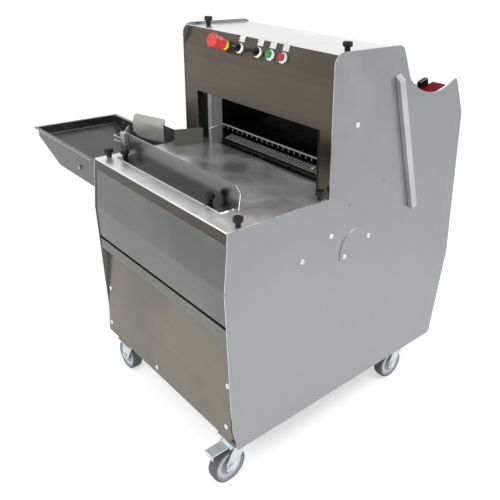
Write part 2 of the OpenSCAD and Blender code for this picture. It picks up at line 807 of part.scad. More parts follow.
trough_x0 = -(half_w + run_gap);
trough_x1 = -(half_w + trough_l);
trough_y0 = nose_y;
trough_y1 = nose_y + trough_w;
trough_drop = 6;
trough_z1 = table_z - trough_drop;
trough_z0 = trough_z1 - trough_h;
trough_end_rise = 62;
trough_rim = 10;
trough_knee_x = trough_x1 + trough_slope_l;
trough_wall = [
    [trough_x0, trough_z0], [trough_knee_x, trough_z0], [trough_x1, trough_z0 + trough_end_rise],
    [trough_x1, trough_z1]
];
trough_bolt_out = 106;
trough_bolt_drop = 53;
trough_bolt_x = -(half_w + trough_bolt_out);
trough_bolt_z = trough_z1 - trough_bolt_drop;
trough_bolt_r = 4;
trough_hole_r = 3;
trough_hole_in = 70;
trough_hole_drop = 14;
module bagging_trough() {
    color("silver") difference() {
        union() {
            xz_slab(trough_y0, trough_w, sheet_path(trough_wall, -sheet_t));
            for (y0 = [trough_y0, trough_y1 - sheet_t])
                xz_slab(y0, sheet_t, concat(trough_wall, [[trough_x0, trough_z1]]));
            span([trough_x1, trough_y0 - trough_rim, trough_z1 - sheet_t], [trough_x0, trough_y0, trough_z1]);
            span([trough_x1, trough_y1, trough_z1 - sheet_t], [trough_x0, trough_y1 + trough_rim, trough_z1]);
            span([trough_x1 - trough_rim, trough_y0 - trough_rim, trough_z1 - sheet_t],
                [trough_x1, trough_y1 + trough_rim, trough_z1]);
        }
        translate([trough_bolt_x, trough_y1 + over, trough_bolt_z]) rotate([90, 0, 0])
            cylinder(h = trough_w + 2 * over, r = trough_bolt_r + fit);
        translate([trough_x1 + trough_hole_in, trough_y1 + over, trough_z1 - trough_hole_drop])
            rotate([90, 0, 0])
            cylinder(h = trough_w + 2 * over, r = trough_hole_r);
    }
}
arm_t = 5;
arm_h = 30;
arm_foot = 50;
trough_head_r = 7;
trough_head_h = 5;
module trough_bracket() {
    color("gray") for (s = [0, 1]) {
        y0 = s == 0 ? trough_y0 + sheet_t : trough_y1 - sheet_t - arm_t;
        foot_y0 = s == 0 ? y0 : y0 + arm_t - arm_foot;
        head_y = s == 0 ? trough_y0 - trough_head_h : trough_y1;
        span([trough_bolt_x - arm_h / 2, y0, trough_bolt_z - arm_h / 2],
            [-half_w - arm_t, y0 + arm_t, trough_bolt_z + arm_h / 2]);
        span([-half_w - arm_t, foot_y0, trough_bolt_z - arm_h / 2],
            [-half_w, foot_y0 + arm_foot, trough_bolt_z + arm_h / 2]);
        translate([trough_bolt_x, head_y + trough_head_h, trough_bolt_z]) rotate([90, 0, 0])
            cylinder(h = trough_head_h, r = trough_head_r);
        translate([trough_bolt_x, s == 0 ? y0 : trough_y1, trough_bolt_z]) rotate([90, 0, 0])
            cylinder(h = sheet_t, r = trough_bolt_r);
    }
}

// Hood, top cover and controls

module hood_front() {
    color("dimgray") difference() {
        yz_slab(-sheet_x, 2 * sheet_x, sheet_path([
            [strip_y, table_z + run_gap], [strip_y, strip_fold_z], [strip_top_y, cover_z - sheet_t - run_gap]
        ], -sheet_t));
        span([-half_w + open_left, strip_y - over, table_z],
            [half_w - open_right, strip_y + sheet_t + over, table_z + open_h]);
        for (x = control_xs)
            on_strip(x, control_share) translate([0, 0, -2 * sheet_t])
                cylinder(h = 4 * sheet_t, r = control_bore_r);
    }
}
cover_in = 3;
module top_cover() {
    color("silver") difference() {
        yz_slab(-sheet_x, 2 * sheet_x, sheet_path([
            [strip_top_y, cover_z], [tower_back_y - cover_in, cover_z],
                [notch_y - cover_in, notch_z + cover_in]
        ], -sheet_t));
        for (x = [-(half_w - cover_knob_in), half_w - cover_knob_in])
            translate([x, cover_knob_y, cover_z - sheet_t - over])
                cylinder(h = sheet_t + 2 * over, r = screw_r + fit);
    }
}
collar_h = 6;
barrel_len = 40;
barrel_r = control_bore_r - fit;
plunger_r = 9;
stem_depth = 24;
// A collar with its barrel behind the strip, open for the stem
module control_collar(bore_r) {
    difference() {
        union() {
            cylinder(h = collar_h, r1 = collar_d / 2, r2 = collar_d / 2 - collar_h / 4);
            translate([0, 0, -barrel_len]) cylinder(h = barrel_len, r = barrel_r);
        }
        translate([0, 0, -stem_depth]) cylinder(h = stem_depth + collar_h + over, r = bore_r);
    }
}
module control_collars() {
    color("white") for (x = control_xs)
        on_strip(x, control_share) control_collar(plunger_r + fit);
}
label_w = 24;
label_h = 18;
label_t = 0.8;
module label_plates() {
    color("white") for (x = label_xs)
        on_strip(x, label_share) translate([-label_w / 2, -label_h / 2, 0]) cube([label_w, label_h, label_t]);
}
estop_neck_share = 0.86;
estop_round_share = 0.3;
estop_neck = 32;
estop_head_h = 22;
estop_lift = collar_h + estop_travel + run_gap;
module estop_button() {
    r = estop_d / 2;
    round = r * estop_round_share;
    neck_r = r * estop_neck_share;
    z1 = estop_lift + estop_neck;
    color("red") on_strip(control_xs[0], control_share) rotate_extrude() polygon([
        [0, -stem_depth + estop_travel + run_gap], [plunger_r, -stem_depth + estop_travel + run_gap],
        [plunger_r, estop_lift], [neck_r, estop_lift], [neck_r, z1 - estop_head_h / 3], [r, z1],
        [r, z1 + estop_head_h / 2 - round / 2], [r - round, z1 + estop_head_h / 2], [0, z1 + estop_head_h / 2]
    ]);
}
button_stop = 2;
button_proud = button_travel + button_stop;
module push_button(x) {
    z1 = collar_h + button_proud;
    on_strip(x, control_share) rotate_extrude() polygon([
        [0, -stem_depth + button_travel + run_gap], [plunger_r, -stem_depth + button_travel + run_gap],
        [plunger_r, z1 - run_gap], [plunger_r - run_gap, z1], [0, z1]
    ]);
}
module start_button() {
    color("green") push_button(control_xs[3]);
}
module stop_button() {
    color("red") push_button(control_xs[4]);
}
selector_disc_r = 12;
selector_disc_h = 5;
selector_bar_w = 9;
selector_bar_h = 11;
module selector(x, bar_back, bar_front) {
    on_strip(x, control_share) {
        translate([0, 0, -stem_depth + run_gap]) cylinder(h = stem_depth + collar_h, r = plunger_r);
        translate([0, 0, collar_h + run_gap]) {
            cylinder(h = selector_disc_h, r = selector_disc_r);
            span([-bar_front, -selector_bar_w / 2, selector_disc_h],
                [bar_back, selector_bar_w / 2, selector_disc_h + selector_bar_h]);
        }
    }
}
selector_short = 12;
selector_long = 24;
module selector_left() {
    color("black") selector(control_xs[1], selector_short, selector_short);
}
module selector_right() {
    color("black") selector(control_xs[2], selector_short, selector_long);
}

// Tunnel, loaf grid and hold-down bail

bail_set = 38;
bail_rise = 60;
bail_pivot_y = tower_y + bail_set;
bail_pivot_z = table_z + bail_rise;
bail_r = 3;
bail_arm_r = 2.6;
bail_tail = 24;
bail_arm = 28;
bail_in = 6;
bail_lean = 10;
tunnel_z0 = table_z + run_gap;
tunnel_z1 = table_z + tunnel_h;
function slope_y(v, z) = blade_y + (v - (z - blade_z) * sin(blade_tilt)) / cos(blade_tilt);
tunnel_line = [
    [tunnel_front_y, tunnel_z0], [grid_y - grid_bar / 2, tunnel_z0],
    [slope_y(-tunnel_gap, blade_z - grid_deep * 4), blade_z - grid_deep * 4],
    [slope_y(-tunnel_gap, tunnel_z1), tunnel_z1], [tunnel_front_y, tunnel_z1]
];
module tunnel_wall(s, x_face) {
    x_back = x_face + s * sheet_t;
    x_flange = x_back + s * tunnel_flange;
    x_panel = s * inner_x;
    y1 = slope_y(-tunnel_gap, tunnel_z1);
    difference() {
        yz_slab(min(x_face, x_back), sheet_t, tunnel_line);
        x_bar(min(x_face, x_back) - over, max(x_face, x_back) + over, bail_pivot_y, bail_pivot_z,
            bail_r + fit);
    }
    span([min(x_back, x_flange), tunnel_front_y, tunnel_z0],
        [max(x_back, x_flange), tunnel_front_y + sheet_t, tunnel_z1 - sheet_t]);
    span([min(x_back, x_panel), tunnel_front_y, tunnel_z1 - sheet_t],
        [max(x_back, x_panel), y1 - sheet_t, tunnel_z1]);
}
module tunnel_walls() {
    color("silver") {
        tunnel_wall(-1, wall_l);
        tunnel_wall(1, wall_r);
    }
}
module at_fingers() {
    for (i = [0 : slice_n - 1])
        translate([wall_l + slice_pitch * (i + 0.5) - finger_w / 2, 0, 0]) children();
}
module loaf_grid() {
    color("lightgray") on_slope() {
        for (v0 = [-grid_front, grid_back])
            span([wall_l, v0, -grid_deep], [wall_r, v0 + grid_bar, 0]);
        at_fingers() translate([0, -grid_front + grid_bar, -grid_deep])
            cube([finger_w, grid_front - grid_bar + grid_back, grid_deep]);
    }
}
peg_r = 2;
peg_l = 13;
peg_step = 2;
module hold_down_bail() {
    x0 = wall_l + bail_in;
    x1 = wall_r - bail_in;
    color("lightgray") translate([0, bail_pivot_y, bail_pivot_z]) rotate([bail_lean, 0, 0]) {
        for (x = [x0, x1])
            translate([x, -bail_tail, 0]) rotate([-90, 0, 0])
                cylinder(h = bail_tail + bail_arm, r = bail_arm_r);
        x_bar(x0, x1, bail_arm, 0, bail_r);
        x_bar(wall_l - sheet_t * 2, x0, 0, 0, bail_r);
        x_bar(x1, wall_r + sheet_t * 2, 0, 0, bail_r);
        for (i = [1 : peg_step : slice_n - 1])
            translate([wall_l + slice_pitch * i, bail_arm, -peg_l]) cylinder(h = peg_l, r = peg_r);
    }
}

// Infeed chute and pusher

module infeed_chute() {
    color("silver") on_slope() {
        span([wall_l, chute_floor_v0, -sheet_t], [wall_r, chute_v1, 0]);
        span([wall_l, chute_v1 - sheet_t, -chute_skirt / 2], [wall_r, chute_v1, -sheet_t]);
        for (s = [-1, 1]) {
            x_face = s < 0 ? wall_l : wall_r;
            x_back = x_face + s * sheet_t;
            x_panel = s * inner_x;
            span([min(x_face, x_back), chute_v0, -chute_skirt],
                [max(x_face, x_back), chute_wall_v1, chute_wall_h]);
            span([min(x_back, x_panel), chute_v0, -chute_skirt],
                [max(x_back, x_panel), chute_wall_v1, sheet_t - chute_skirt]);
        }
    }
}
push_in = 97;
push_v = chute_v1 - push_in;
push_d = 35;
push_top = 127;
push_gap = 2;
push_w = 14;
push_x = wall_r + sheet_t + push_gap;
push_rod_off = 40;
push_rod_x = push_x + push_rod_off;
push_rod_u = 60;
push_rod_r = 6;
push_bush = 14;
bracket_d = 12;
bracket_half = 12;
push_bracket_v0 = 34;
push_bracket_in = 16;
push_bracket_vs = [push_bracket_v0, chute_v1 - push_bracket_in];
module pusher_rail() {
    color("gray") on_slope() {
        difference() {
            for (v = push_bracket_vs)
                span([push_rod_x - bracket_half, v, push_rod_u - bracket_half],
                    [inner_x, v + bracket_d, push_rod_u + bracket_half]);
            translate([push_rod_x, push_bracket_vs[0] - over, push_rod_u]) rotate([-90, 0, 0])
                cylinder(h = push_bracket_vs[1] - push_bracket_vs[0] + bracket_d + 2 * over, r = push_rod_r);
        }
        translate([push_rod_x, push_bracket_vs[0], push_rod_u]) rotate([-90, 0, 0])
            cylinder(h = push_bracket_vs[1] - push_bracket_vs[0] + bracket_d, r = push_rod_r);
    }
}
comb_t = 3;
comb_side = 6;
comb_low = 6;
comb_high = 90;
comb_finger_l = 40;
comb_finger_low = 10;
comb_finger_high = 40;
comb_finger_w = 4;
arm_gap = 3;
arm_z = chute_wall_h + arm_gap;
arm_deep = 12;
module pusher_carriage() {
    color("dimgray") on_slope() {
        span([push_x, push_v, push_rod_u - push_bush], [push_x + push_w, push_v + push_d, push_top]);
        difference() {
            span([push_x + push_w, push_v, push_rod_u - push_bush],
                [push_rod_x + push_bush, push_v + push_d, push_rod_u + push_bush]);
            translate([push_rod_x, push_v - over, push_rod_u]) rotate([-90, 0, 0])
                cylinder(h = push_d + 2 * over, r = push_rod_r + fit);
        }
        span([wall_l + comb_side, push_v, comb_low], [wall_r - comb_side, push_v + comb_t, comb_high]);
        span([wall_r - comb_side * 3, push_v, comb_high],
            [wall_r - comb_side, push_v + push_d / 2, arm_z + arm_deep]);
        span([wall_r - comb_side, push_v, arm_z], [push_x, push_v + push_d / 2, arm_z + arm_deep]);
        translate([(finger_w - comb_finger_w) / 2, 0, 0]) at_fingers()
            translate([0, push_v - comb_finger_l, comb_finger_low])
            cube([comb_finger_w, comb_finger_l, comb_finger_high - comb_finger_low]);
    }
}
grip_w = 46;
grip_front = 25;
grip_l = 79;
grip_u = 103;
grip_t = 6;
module pusher_grip() {
    color("darkred") on_slope() span([push_x + push_w, push_v - grip_front, grip_u],
        [push_x + push_w + grip_w, push_v - grip_front + grip_l, grip_u + grip_t]);
}

// Blade frames

module blade_frame(v, lug_s) {
    color("gray") on_slope() {
        for (u = [bar_top_u, bar_low_u - bar_h])
            span([stile_l_x, v - frame_d / 2, u], [stile_r_x + stile_w, v + frame_d / 2, u + bar_h]);
        for (x0 = [stile_l_x, stile_r_x])
            span([x0, v - frame_d / 2, bar_low_u], [x0 + stile_w, v + frame_d / 2, bar_top_u]);
        for (u = bush_us) {
            difference() {
                span([rod_l_x - bush_half, v - bush_d / 2, u], [stile_l_x, v + bush_d / 2, u + bush_h]);
                translate([rod_l_x, v, u - over]) cylinder(h = bush_h + 2 * over, r = rod_r + fit);
            }
            difference() {
                span([stile_r_x + stile_w, v - bush_d / 2, u],
                    [rod_r_x + bush_half, v + bush_d / 2, u + bush_h]);
                translate([rod_r_x, v, u - over]) cylinder(h = bush_h + 2 * over, r = rod_r + fit);
            }
        }
        lug_x = lug_s * (conrod_x - lug_t / 2 - shoulder_l);
        boss_x0 = lug_s < 0 ? -conrod_x + run_gap : lug_x + lug_t / 2;
        boss_x1 = lug_s < 0 ? lug_x - lug_t / 2 : conrod_x - run_gap;
        span([lug_x - lug_t / 2, v - frame_d / 2, wrist_u - small_eye_r],
            [lug_x + lug_t / 2, v + frame_d / 2, bar_low_u - bar_h]);
        x_bar(boss_x0, boss_x1, v, wrist_u, pin_r);
    }
}
module blade_set(v, first) {
    color("lightgray") on_slope()
        for (i = [first : 2 : slice_n - 1])
            span([wall_l + slice_pitch * i - blade_t / 2, v - blade_w / 2, bar_low_u],
                [wall_l + slice_pitch * i + blade_t / 2, v + blade_w / 2, bar_top_u]);
}
module blade_frame_a() {
    blade_frame(-frame_v, -1);
}
module blade_frame_b() {
    blade_frame(frame_v, 1);
}
module blades_a() {
    blade_set(-frame_v, 1);
}
module blades_b() {
    blade_set(frame_v, 2);
}
module blade_guides() {
    color("silver") on_slope() {
        difference() {
            for (u = clamp_us) {
                span([-inner_x, -clamp_half, u], [rod_l_x + clamp_in, clamp_half, u + clamp_h]);
                span([rod_r_x - clamp_in, -clamp_half, u], [inner_x, clamp_half, u + clamp_h]);
            }
            for (x = [rod_l_x, rod_r_x])
                for (v = [-frame_v, frame_v])
                    translate([x, v, clamp_us[1] - over])
                        cylinder(h = clamp_us[0] - clamp_us[1] + clamp_h + 2 * over, r = rod_r);
        }
        for (x = [rod_l_x, rod_r_x])
            for (v = [-frame_v, frame_v])
                translate([x, v, clamp_us[1]]) cylinder(h = clamp_us[0] - clamp_us[1] + clamp_h, r = rod_r);
    }
}
guide_cover_w = 22;
guide_cover_h = 16;
guide_cover_top = 228;
guide_cover_low = 188;
module guide_cover(s) {
    x0 = s * half_w;
    x1 = s * (half_w + guide_cover_h);
    on_slope() xz_slab(-guide_cover_w / 2, guide_cover_w, [
        [x0, -guide_cover_low], [x1, -guide_cover_low], [x1, guide_cover_top - guide_cover_h],
            [x0, guide_cover_top]
    ]);
}
module guide_covers() {
    color("silver") {
        guide_cover(-1);
        guide_cover(1);
    }
}

// Drive

crank_y = blade_y - crank_u * sin(blade_tilt);
crank_z = blade_z + crank_u * cos(blade_tilt);
module crank_end(s) {
    x0 = s < 0 ? -disc_x - disc_t : disc_x;
    pin_v = s < 0 ? -crank_r : crank_r;
    x_shoulder = s < 0 ? -conrod_x + run_gap : disc_x + disc_t;
    x_pin = s < 0 ? -conrod_x - conrod_t - cap_t : disc_x + disc_t;
    x_cap = s < 0 ? -conrod_x - conrod_t - cap_t : conrod_x + conrod_t + run_gap;
    x_bar(x0, x0 + disc_t, 0, 0, disc_r);
    x_bar(x_shoulder, x_shoulder + shoulder_l - run_gap, pin_v, 0, shoulder_r);
    x_bar(x_pin, x_pin + shoulder_l + conrod_t + cap_t, pin_v, 0, pin_r);
    x_bar(x_cap, x_cap + cap_t - run_gap, pin_v, 0, shoulder_r);
}
module crankshaft() {
    color("gray") on_slope() translate([0, 0, crank_u]) {
        x_bar(-disc_x, disc_x, 0, 0, shaft_r);
        x_bar(-pulley_w / 2, pulley_w / 2, 0, 0, crank_pulley_r);
        crank_end(-1);
        crank_end(1);
    }
}
module conrod(s) {
    x0 = s < 0 ? -conrod_x - conrod_t : conrod_x;
    big_v = s < 0 ? -crank_r : crank_r;
    small_v = s < 0 ? -frame_v : frame_v;
    color("silver") on_slope() difference() {
        union() {
            x_bar(x0, x0 + conrod_t, big_v, crank_u, rod_eye_r);
            x_bar(x0, x0 + conrod_t, small_v, wrist_u, small_eye_r);
            yz_slab(x0, conrod_t, [
                [big_v - conrod_w / 2, crank_u], [big_v + conrod_w / 2, crank_u],
                [small_v + conrod_w / 2, wrist_u], [small_v - conrod_w / 2, wrist_u]
            ]);
        }
        x_bar(x0 - over, x0 + conrod_t + over, big_v, crank_u, pin_r + fit);
        x_bar(x0 - over, x0 + conrod_t + over, small_v, wrist_u, pin_r);
    }
}
module conrod_a() {
    conrod(-1);
}
module conrod_b() {
    conrod(1);
}
platform_z = castor_h + tube_h + platform_t;
stand_foot = 12;
module drive_stand() {
    color("dimgray") for (s = [-1, 1]) {
        x0 = s < 0 ? -stand_x - stand_t : stand_x;
        difference() {
            union() {
                span([x0, crank_y - stand_half, platform_z], [x0 + stand_t, crank_y + stand_half, crank_z]);
                x_bar(x0, x0 + stand_t, crank_y, crank_z, stand_half);
                span([x0 - stand_foot, crank_y - stand_half, platform_z],
                    [x0 + stand_t + stand_foot, crank_y + stand_half, platform_z + stand_foot]);
            }
            x_bar(x0 - over, x0 + stand_t + over, crank_y, crank_z, shaft_r + fit);
        }
    }
}
motor_foot_w = 70;
motor_box = 60;
motor_shaft_r = 12;
motor_bore = 24;
module motor() {
    color("steelblue") {
        difference() {
            x_bar(motor_x0, motor_x0 + motor_l, motor_y, motor_z, motor_r);
            x_bar(motor_x0 - over, motor_x0 + motor_bore, motor_y, motor_z, motor_shaft_r + fit);
        }
        difference() {
            span([motor_x0 + motor_bore + over, motor_y - motor_foot_w, platform_z],
                [motor_x0 + motor_l - motor_bore, motor_y + motor_foot_w, motor_z]);
            x_bar(motor_x0, motor_x0 + motor_l, motor_y, motor_z, motor_r - over);
        }
        difference() {
            span([motor_x0 + motor_l / 2 - motor_box / 2, motor_y - motor_box / 2, motor_z],
                [motor_x0 + motor_l / 2 + motor_box / 2, motor_y + motor_box / 2,
                motor_z + motor_r + motor_box / 2]);
            x_bar(motor_x0, motor_x0 + motor_l, motor_y, motor_z, motor_r - over);
        }
    }
}
module motor_pulley() {
    color("dimgray") {
        x_bar(-pulley_w / 2, pulley_w / 2, motor_y, motor_z, motor_pulley_r);
        x_bar(pulley_w / 2, motor_x0 + motor_bore - run_gap, motor_y, motor_z, motor_shaft_r);
    }
}
belt_n = 60;
module drive_belt() {
    c1 = [crank_y, crank_z];
    c2 = [motor_y, motor_z];
    r1 = crank_pulley_r + belt_gap;
    r2 = motor_pulley_r + belt_gap;
    color("black") translate([-belt_w / 2, 0, 0]) rotate([90, 0, 90]) linear_extrude(belt_w) difference() {
        polygon(belt_line(c1, r1 + belt_t, c2, r2 + belt_t, belt_n));
        polygon(belt_line(c1, r1, c2, r2, belt_n));
    }
}
box_w = 120;
box_d = 220;
box_h = 160;
box_reach = 330;
box_y = -box_reach;
box_rise = 150;
box_z = castor_h + box_rise;
module control_box() {
    color("lightgray") span([-inner_x, box_y, box_z], [-inner_x + box_w, box_y + box_d, box_z + box_h]);
}

// Covers and screws on the right panel

half_moon_r = 66;
half_moon_t = 3;
half_moon_tilt = 20.5;
half_moon_set = 114;
half_moon_drop = 24;
half_moon_y = tower_y + half_moon_set;
half_moon_z = kink_z - half_moon_drop;
half_moon_n = 24;
half_moon_screw_off = 50;
half_moon_screw_in = 10;
module access_cover() {
    color("silver") translate([half_w, half_moon_y, half_moon_z]) rotate([half_moon_tilt, 0, 0])
        difference() {
            yz_slab(0, half_moon_t,
                [for (i = [0 : half_moon_n])
                half_moon_r * [cos(180 * i / half_moon_n), sin(180 * i / half_moon_n)]]);
            for (v = [-half_moon_screw_off, half_moon_screw_off])
                x_bar(-over, half_moon_t + over, v, half_moon_screw_in, panel_screw_r + fit);
        }
}
module panel_screws() {
    color("gray") {
        for (s = side_screws) {
            side_screw(half_w, 1, s);
            side_screw(-half_w, -1, s);
        }
        translate([half_w + half_moon_t, half_moon_y, half_moon_z]) rotate([half_moon_tilt, 0, 0])
            for (v = [-half_moon_screw_off, half_moon_screw_off])
                translate([0, v, half_moon_screw_in]) rotate([0, 90, 0]) {
                    cylinder(h = panel_head_h, r1 = panel_head_r, r2 = panel_head_r - panel_head_h / 2);
                    translate([0, 0, -half_moon_t]) cylinder(h = half_moon_t, r = panel_screw_r);
                }
        lower_screws() {
            cylinder(h = lower_screw_h, r1 = panel_head_r, r2 = panel_head_r - lower_screw_h / 2);
            translate([0, 0, -lower_screw_len]) cylinder(h = lower_screw_len, r = panel_screw_r);
        }
    }
}

// Castors

castor_plate_half = 40;
castor_plate_t = 4;
king_r = 6;
king_head_r = 11;
king_head_h = 3;
crown_r = 28;
crown_h = 12;
race_gap = 0.4;
crown_z1 = castor_h - castor_plate_t - race_gap;
crown_z0 = crown_z1 - crown_h;
cheek_t = 3;
cheek_gap = 2;
cheek_x = wheel_w / 2 + cheek_gap;
axle_r = 5;
axle_nut_r = 9;
axle_nut_h = 4;
axle_z = wheel_d / 2;
// Places: [X, Y, turn of the fork]
castors = [
    [-castor_x, -castor_front, -90],
    [castor_x, -castor_front, 0],
    [-castor_x, castor_rear, 0],
    [castor_x, castor_rear, 0]
];
module at_castor(i) {
    translate([castors[i][0], castors[i][1], 0]) rotate([0, 0, castors[i][2]]) children();
}
module castor_plates() {
    color("lightgray") for (i = [0 : len(castors) - 1])
        translate([castors[i][0], castors[i][1], 0]) {
            span([-castor_plate_half, -castor_plate_half, castor_h - castor_plate_t],
                [castor_plate_half, castor_plate_half, castor_h]);
            translate([0, 0, crown_z0 - race_gap])
                cylinder(h = castor_h - castor_plate_t - crown_z0 + race_gap, r = king_r);
            translate([0, 0, crown_z0 - race_gap - king_head_h]) cylinder(h = king_head_h, r = king_head_r);
        }
}
cheek_r = 13;
cheek_top = 22;
module castor_fork(i) {
    color("lightgray") at_castor(i) {
        difference() {
            union() {
                translate([0, 0, crown_z0]) cylinder(h = crown_h, r = crown_r);
                span([-cheek_x - cheek_t, -cheek_top, crown_z0],
                    [cheek_x + cheek_t, cheek_top, crown_z0 + crown_h / 2]);
            }
            translate([0, 0, crown_z0 - over]) cylinder(h = crown_h + 2 * over, r = king_r + fit);
        }
        for (x0 = [-cheek_x - cheek_t, cheek_x])
            yz_slab(x0, cheek_t, round_path([
                [cheek_top, crown_z0 + crown_h / 2, 0], [-cheek_top, crown_z0 + crown_h / 2, 0],
                [-castor_trail - cheek_r, axle_z + cheek_r, cheek_r / 2],
                    [-castor_trail - cheek_r, axle_z - cheek_r, cheek_r / 2],
                [-castor_trail + cheek_r, axle_z - cheek_r, cheek_r / 2]
            ]));
        x_bar(-cheek_x - cheek_t - axle_nut_h, cheek_x + cheek_t + axle_nut_h, -castor_trail, axle_z, axle_r);
        for (x0 = [-cheek_x - cheek_t - axle_nut_h, cheek_x + cheek_t])
            x_bar(x0, x0 + axle_nut_h, -castor_trail, axle_z, axle_nut_r);
    }
}
tread_share = 0.86;
rim_in = 4;
hub_r = 14;
wheel_round = 4;
module castor_wheel(i) {
    r = wheel_d / 2;
    h = wheel_w / 2;
    rt = r * tread_share;
    color("dimgray") at_castor(i) translate([0, -castor_trail, axle_z]) rotate([0, 90, 0])
        rotate_extrude() polygon([
        [axle_r + fit, -h], [hub_r, -h], [hub_r, -h + rim_in], [rt - rim_in, -h + rim_in], [rt, -h],
            [r - wheel_round, -h], [r, -h + wheel_round],
        [r, h - wheel_round], [r - wheel_round, h], [rt, h], [rt - rim_in, h - rim_in],
            [hub_r, h - rim_in], [hub_r, h], [axle_r + fit, h]
    ]);
}
pedal_i = 1;
pedal_l = 58;
pedal_w = 34;
pedal_t = 4;
pedal_pin_back = 36;
pedal_pin_v = -pedal_pin_back;
pedal_pin_r = 3;
pedal_eye_r = 6;
pedal_lip = 12;
pedal_pin_z = crown_z0 + crown_h / 3;
module brake_pedal() {
    color("lightgray") at_castor(pedal_i) {
        difference() {
            union() {
                x_bar(-pedal_w / 2, pedal_w / 2, pedal_pin_v, pedal_pin_z, pedal_eye_r);
                span([-pedal_w / 2, pedal_pin_v - pedal_l, pedal_pin_z - pedal_t / 2],
                    [pedal_w / 2, pedal_pin_v, pedal_pin_z + pedal_t / 2]);
                span([-pedal_w / 2, pedal_pin_v - pedal_l, pedal_pin_z - pedal_lip],
                    [pedal_w / 2, pedal_pin_v - pedal_l + pedal_t, pedal_pin_z]);
            }
            x_bar(-pedal_w / 2 - over, pedal_w / 2 + over, pedal_pin_v, pedal_pin_z, pedal_pin_r + fit);
        }
    }
}
module castor_fork_fl() {
    castor_fork(0);
}
module castor_fork_fr() {
    castor_fork(1);
    // Ears and pin for the brake pedal
    color("lightgray") at_castor(pedal_i) {
        for (x0 = [-cheek_x - cheek_t, cheek_x])
            span([x0, pedal_pin_v - pedal_eye_r, pedal_pin_z - pedal_eye_r],
                [x0 + cheek_t, -cheek_top, pedal_pin_z + pedal_eye_r]);
        x_bar(-cheek_x, cheek_x, pedal_pin_v, pedal_pin_z, pedal_pin_r);
    }
}
module castor_fork_rl() {
    castor_fork(2);
}
module castor_fork_rr() {
    castor_fork(3);
}
module castor_wheel_fl() {
    castor_wheel(0);
}
module castor_wheel_fr() {
    castor_wheel(1);
}
module castor_wheel_rl() {
    castor_wheel(2);
}
module castor_wheel_rr() {
    castor_wheel(3);
}

// Nodes

left_side_panel();
right_side_panel();
base_frame();
front_apron();
lower_front_panel();
rear_panel();
output_table();
inner_rails();
crumb_tray();
thumb_knobs();
fence();
fence_knobs();
bag_clamp();
bag_clamp_lever();
corner_guide();
nozzle_plate();
bagging_trough();
trough_bracket();
hood_front();
top_cover();
control_collars();
label_plates();
estop_button();
start_button();
stop_button();
selector_left();
selector_right();
tunnel_walls();
loaf_grid();
hold_down_bail();
infeed_chute();
pusher_rail();
pusher_carriage();
pusher_grip();
blade_frame_a();
blade_frame_b();
blades_a();
blades_b();
blade_guides();
guide_covers();
crankshaft();
conrod_a();
conrod_b();
drive_stand();
motor();
motor_pulley();
drive_belt();
control_box();
access_cover();
panel_screws();
castor_plates();
castor_fork_fl();
castor_fork_fr();
castor_fork_rl();
castor_fork_rr();
castor_wheel_fl();
castor_wheel_fr();
castor_wheel_rl();
castor_wheel_rr();
brake_pedal();
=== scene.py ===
"""A bread slicer on castors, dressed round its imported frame."""

import functools
import json
import logging
import math
from dataclasses import dataclass
from enum import Enum, IntEnum
from typing import Callable, Iterable, Sequence

import bmesh
import bpy
from mathutils import Matrix, Vector


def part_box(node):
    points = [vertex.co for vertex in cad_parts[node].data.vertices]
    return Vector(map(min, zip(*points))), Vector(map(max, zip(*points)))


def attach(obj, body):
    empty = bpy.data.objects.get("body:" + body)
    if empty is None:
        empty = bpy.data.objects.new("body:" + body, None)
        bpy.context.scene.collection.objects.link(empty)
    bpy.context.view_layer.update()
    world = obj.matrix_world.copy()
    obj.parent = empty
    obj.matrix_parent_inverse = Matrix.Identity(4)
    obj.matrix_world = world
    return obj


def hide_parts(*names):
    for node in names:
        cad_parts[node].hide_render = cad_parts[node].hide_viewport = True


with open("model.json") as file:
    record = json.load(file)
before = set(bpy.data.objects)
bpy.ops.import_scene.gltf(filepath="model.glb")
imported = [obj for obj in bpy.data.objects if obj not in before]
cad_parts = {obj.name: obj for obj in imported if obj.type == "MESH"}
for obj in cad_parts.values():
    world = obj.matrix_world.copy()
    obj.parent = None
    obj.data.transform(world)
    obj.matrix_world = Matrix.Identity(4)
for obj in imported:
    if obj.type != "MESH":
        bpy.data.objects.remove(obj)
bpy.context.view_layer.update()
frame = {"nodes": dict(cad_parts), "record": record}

log = logging.getLogger("bread_slicer")
MM = 0.001
WHITE = (1.0, 1.0, 1.0, 1.0)
# Sheet metal, in mm: radius of its edges, radius of its folds, the widest cut edge, which is lightened as a
# painted highlight
SHEET_EDGE = 0.4
SHEET_FOLD = 3.0
SHEET_CUT = 2.4

Triple = tuple[float, float, float]
Profile = Sequence[tuple[float, ...]]
BMesh = bmesh.types.BMesh
Face = bmesh.types.BMFace
Mesh = bpy.types.Mesh
Object = bpy.types.Object
Node = bpy.types.Node
Tree = bpy.types.NodeTree
Socket = bpy.types.NodeSocket


def srgb(red: float, green: float, blue: float) -> Triple:
    """Turns a screen colour of 0 to 255 into the linear colour a shader takes."""
    parts = [c / 255 for c in (red, green, blue)]
    return tuple(c / 12.92 if c <= 0.04045 else ((c + 0.055) / 1.055) ** 2.4 for c in parts)


def mm(x: float, y: float, z: float) -> Vector:
    """A point given in millimetres, in metres."""
    return Vector((x, y, z)) * MM


def facing(origin: Vector, out: Vector) -> Matrix:
    """A frame at a point in metres, whose Z runs along a direction."""
    turn = out.normalized().to_track_quat("Z", "Y").to_matrix().to_4x4()
    return Matrix.Translation(origin) @ turn


def put(name: str, data: bpy.types.ID) -> Object:
    """Puts a mesh, lamp or camera into the scene.

    Args:
        name: the object's name.
        data: what it shows.

    Returns:
        The new object.
    """
    made = bpy.data.objects.new(name, data)
    bpy.context.scene.collection.objects.link(made)
    return made


# Node trees, shader groups and finishes


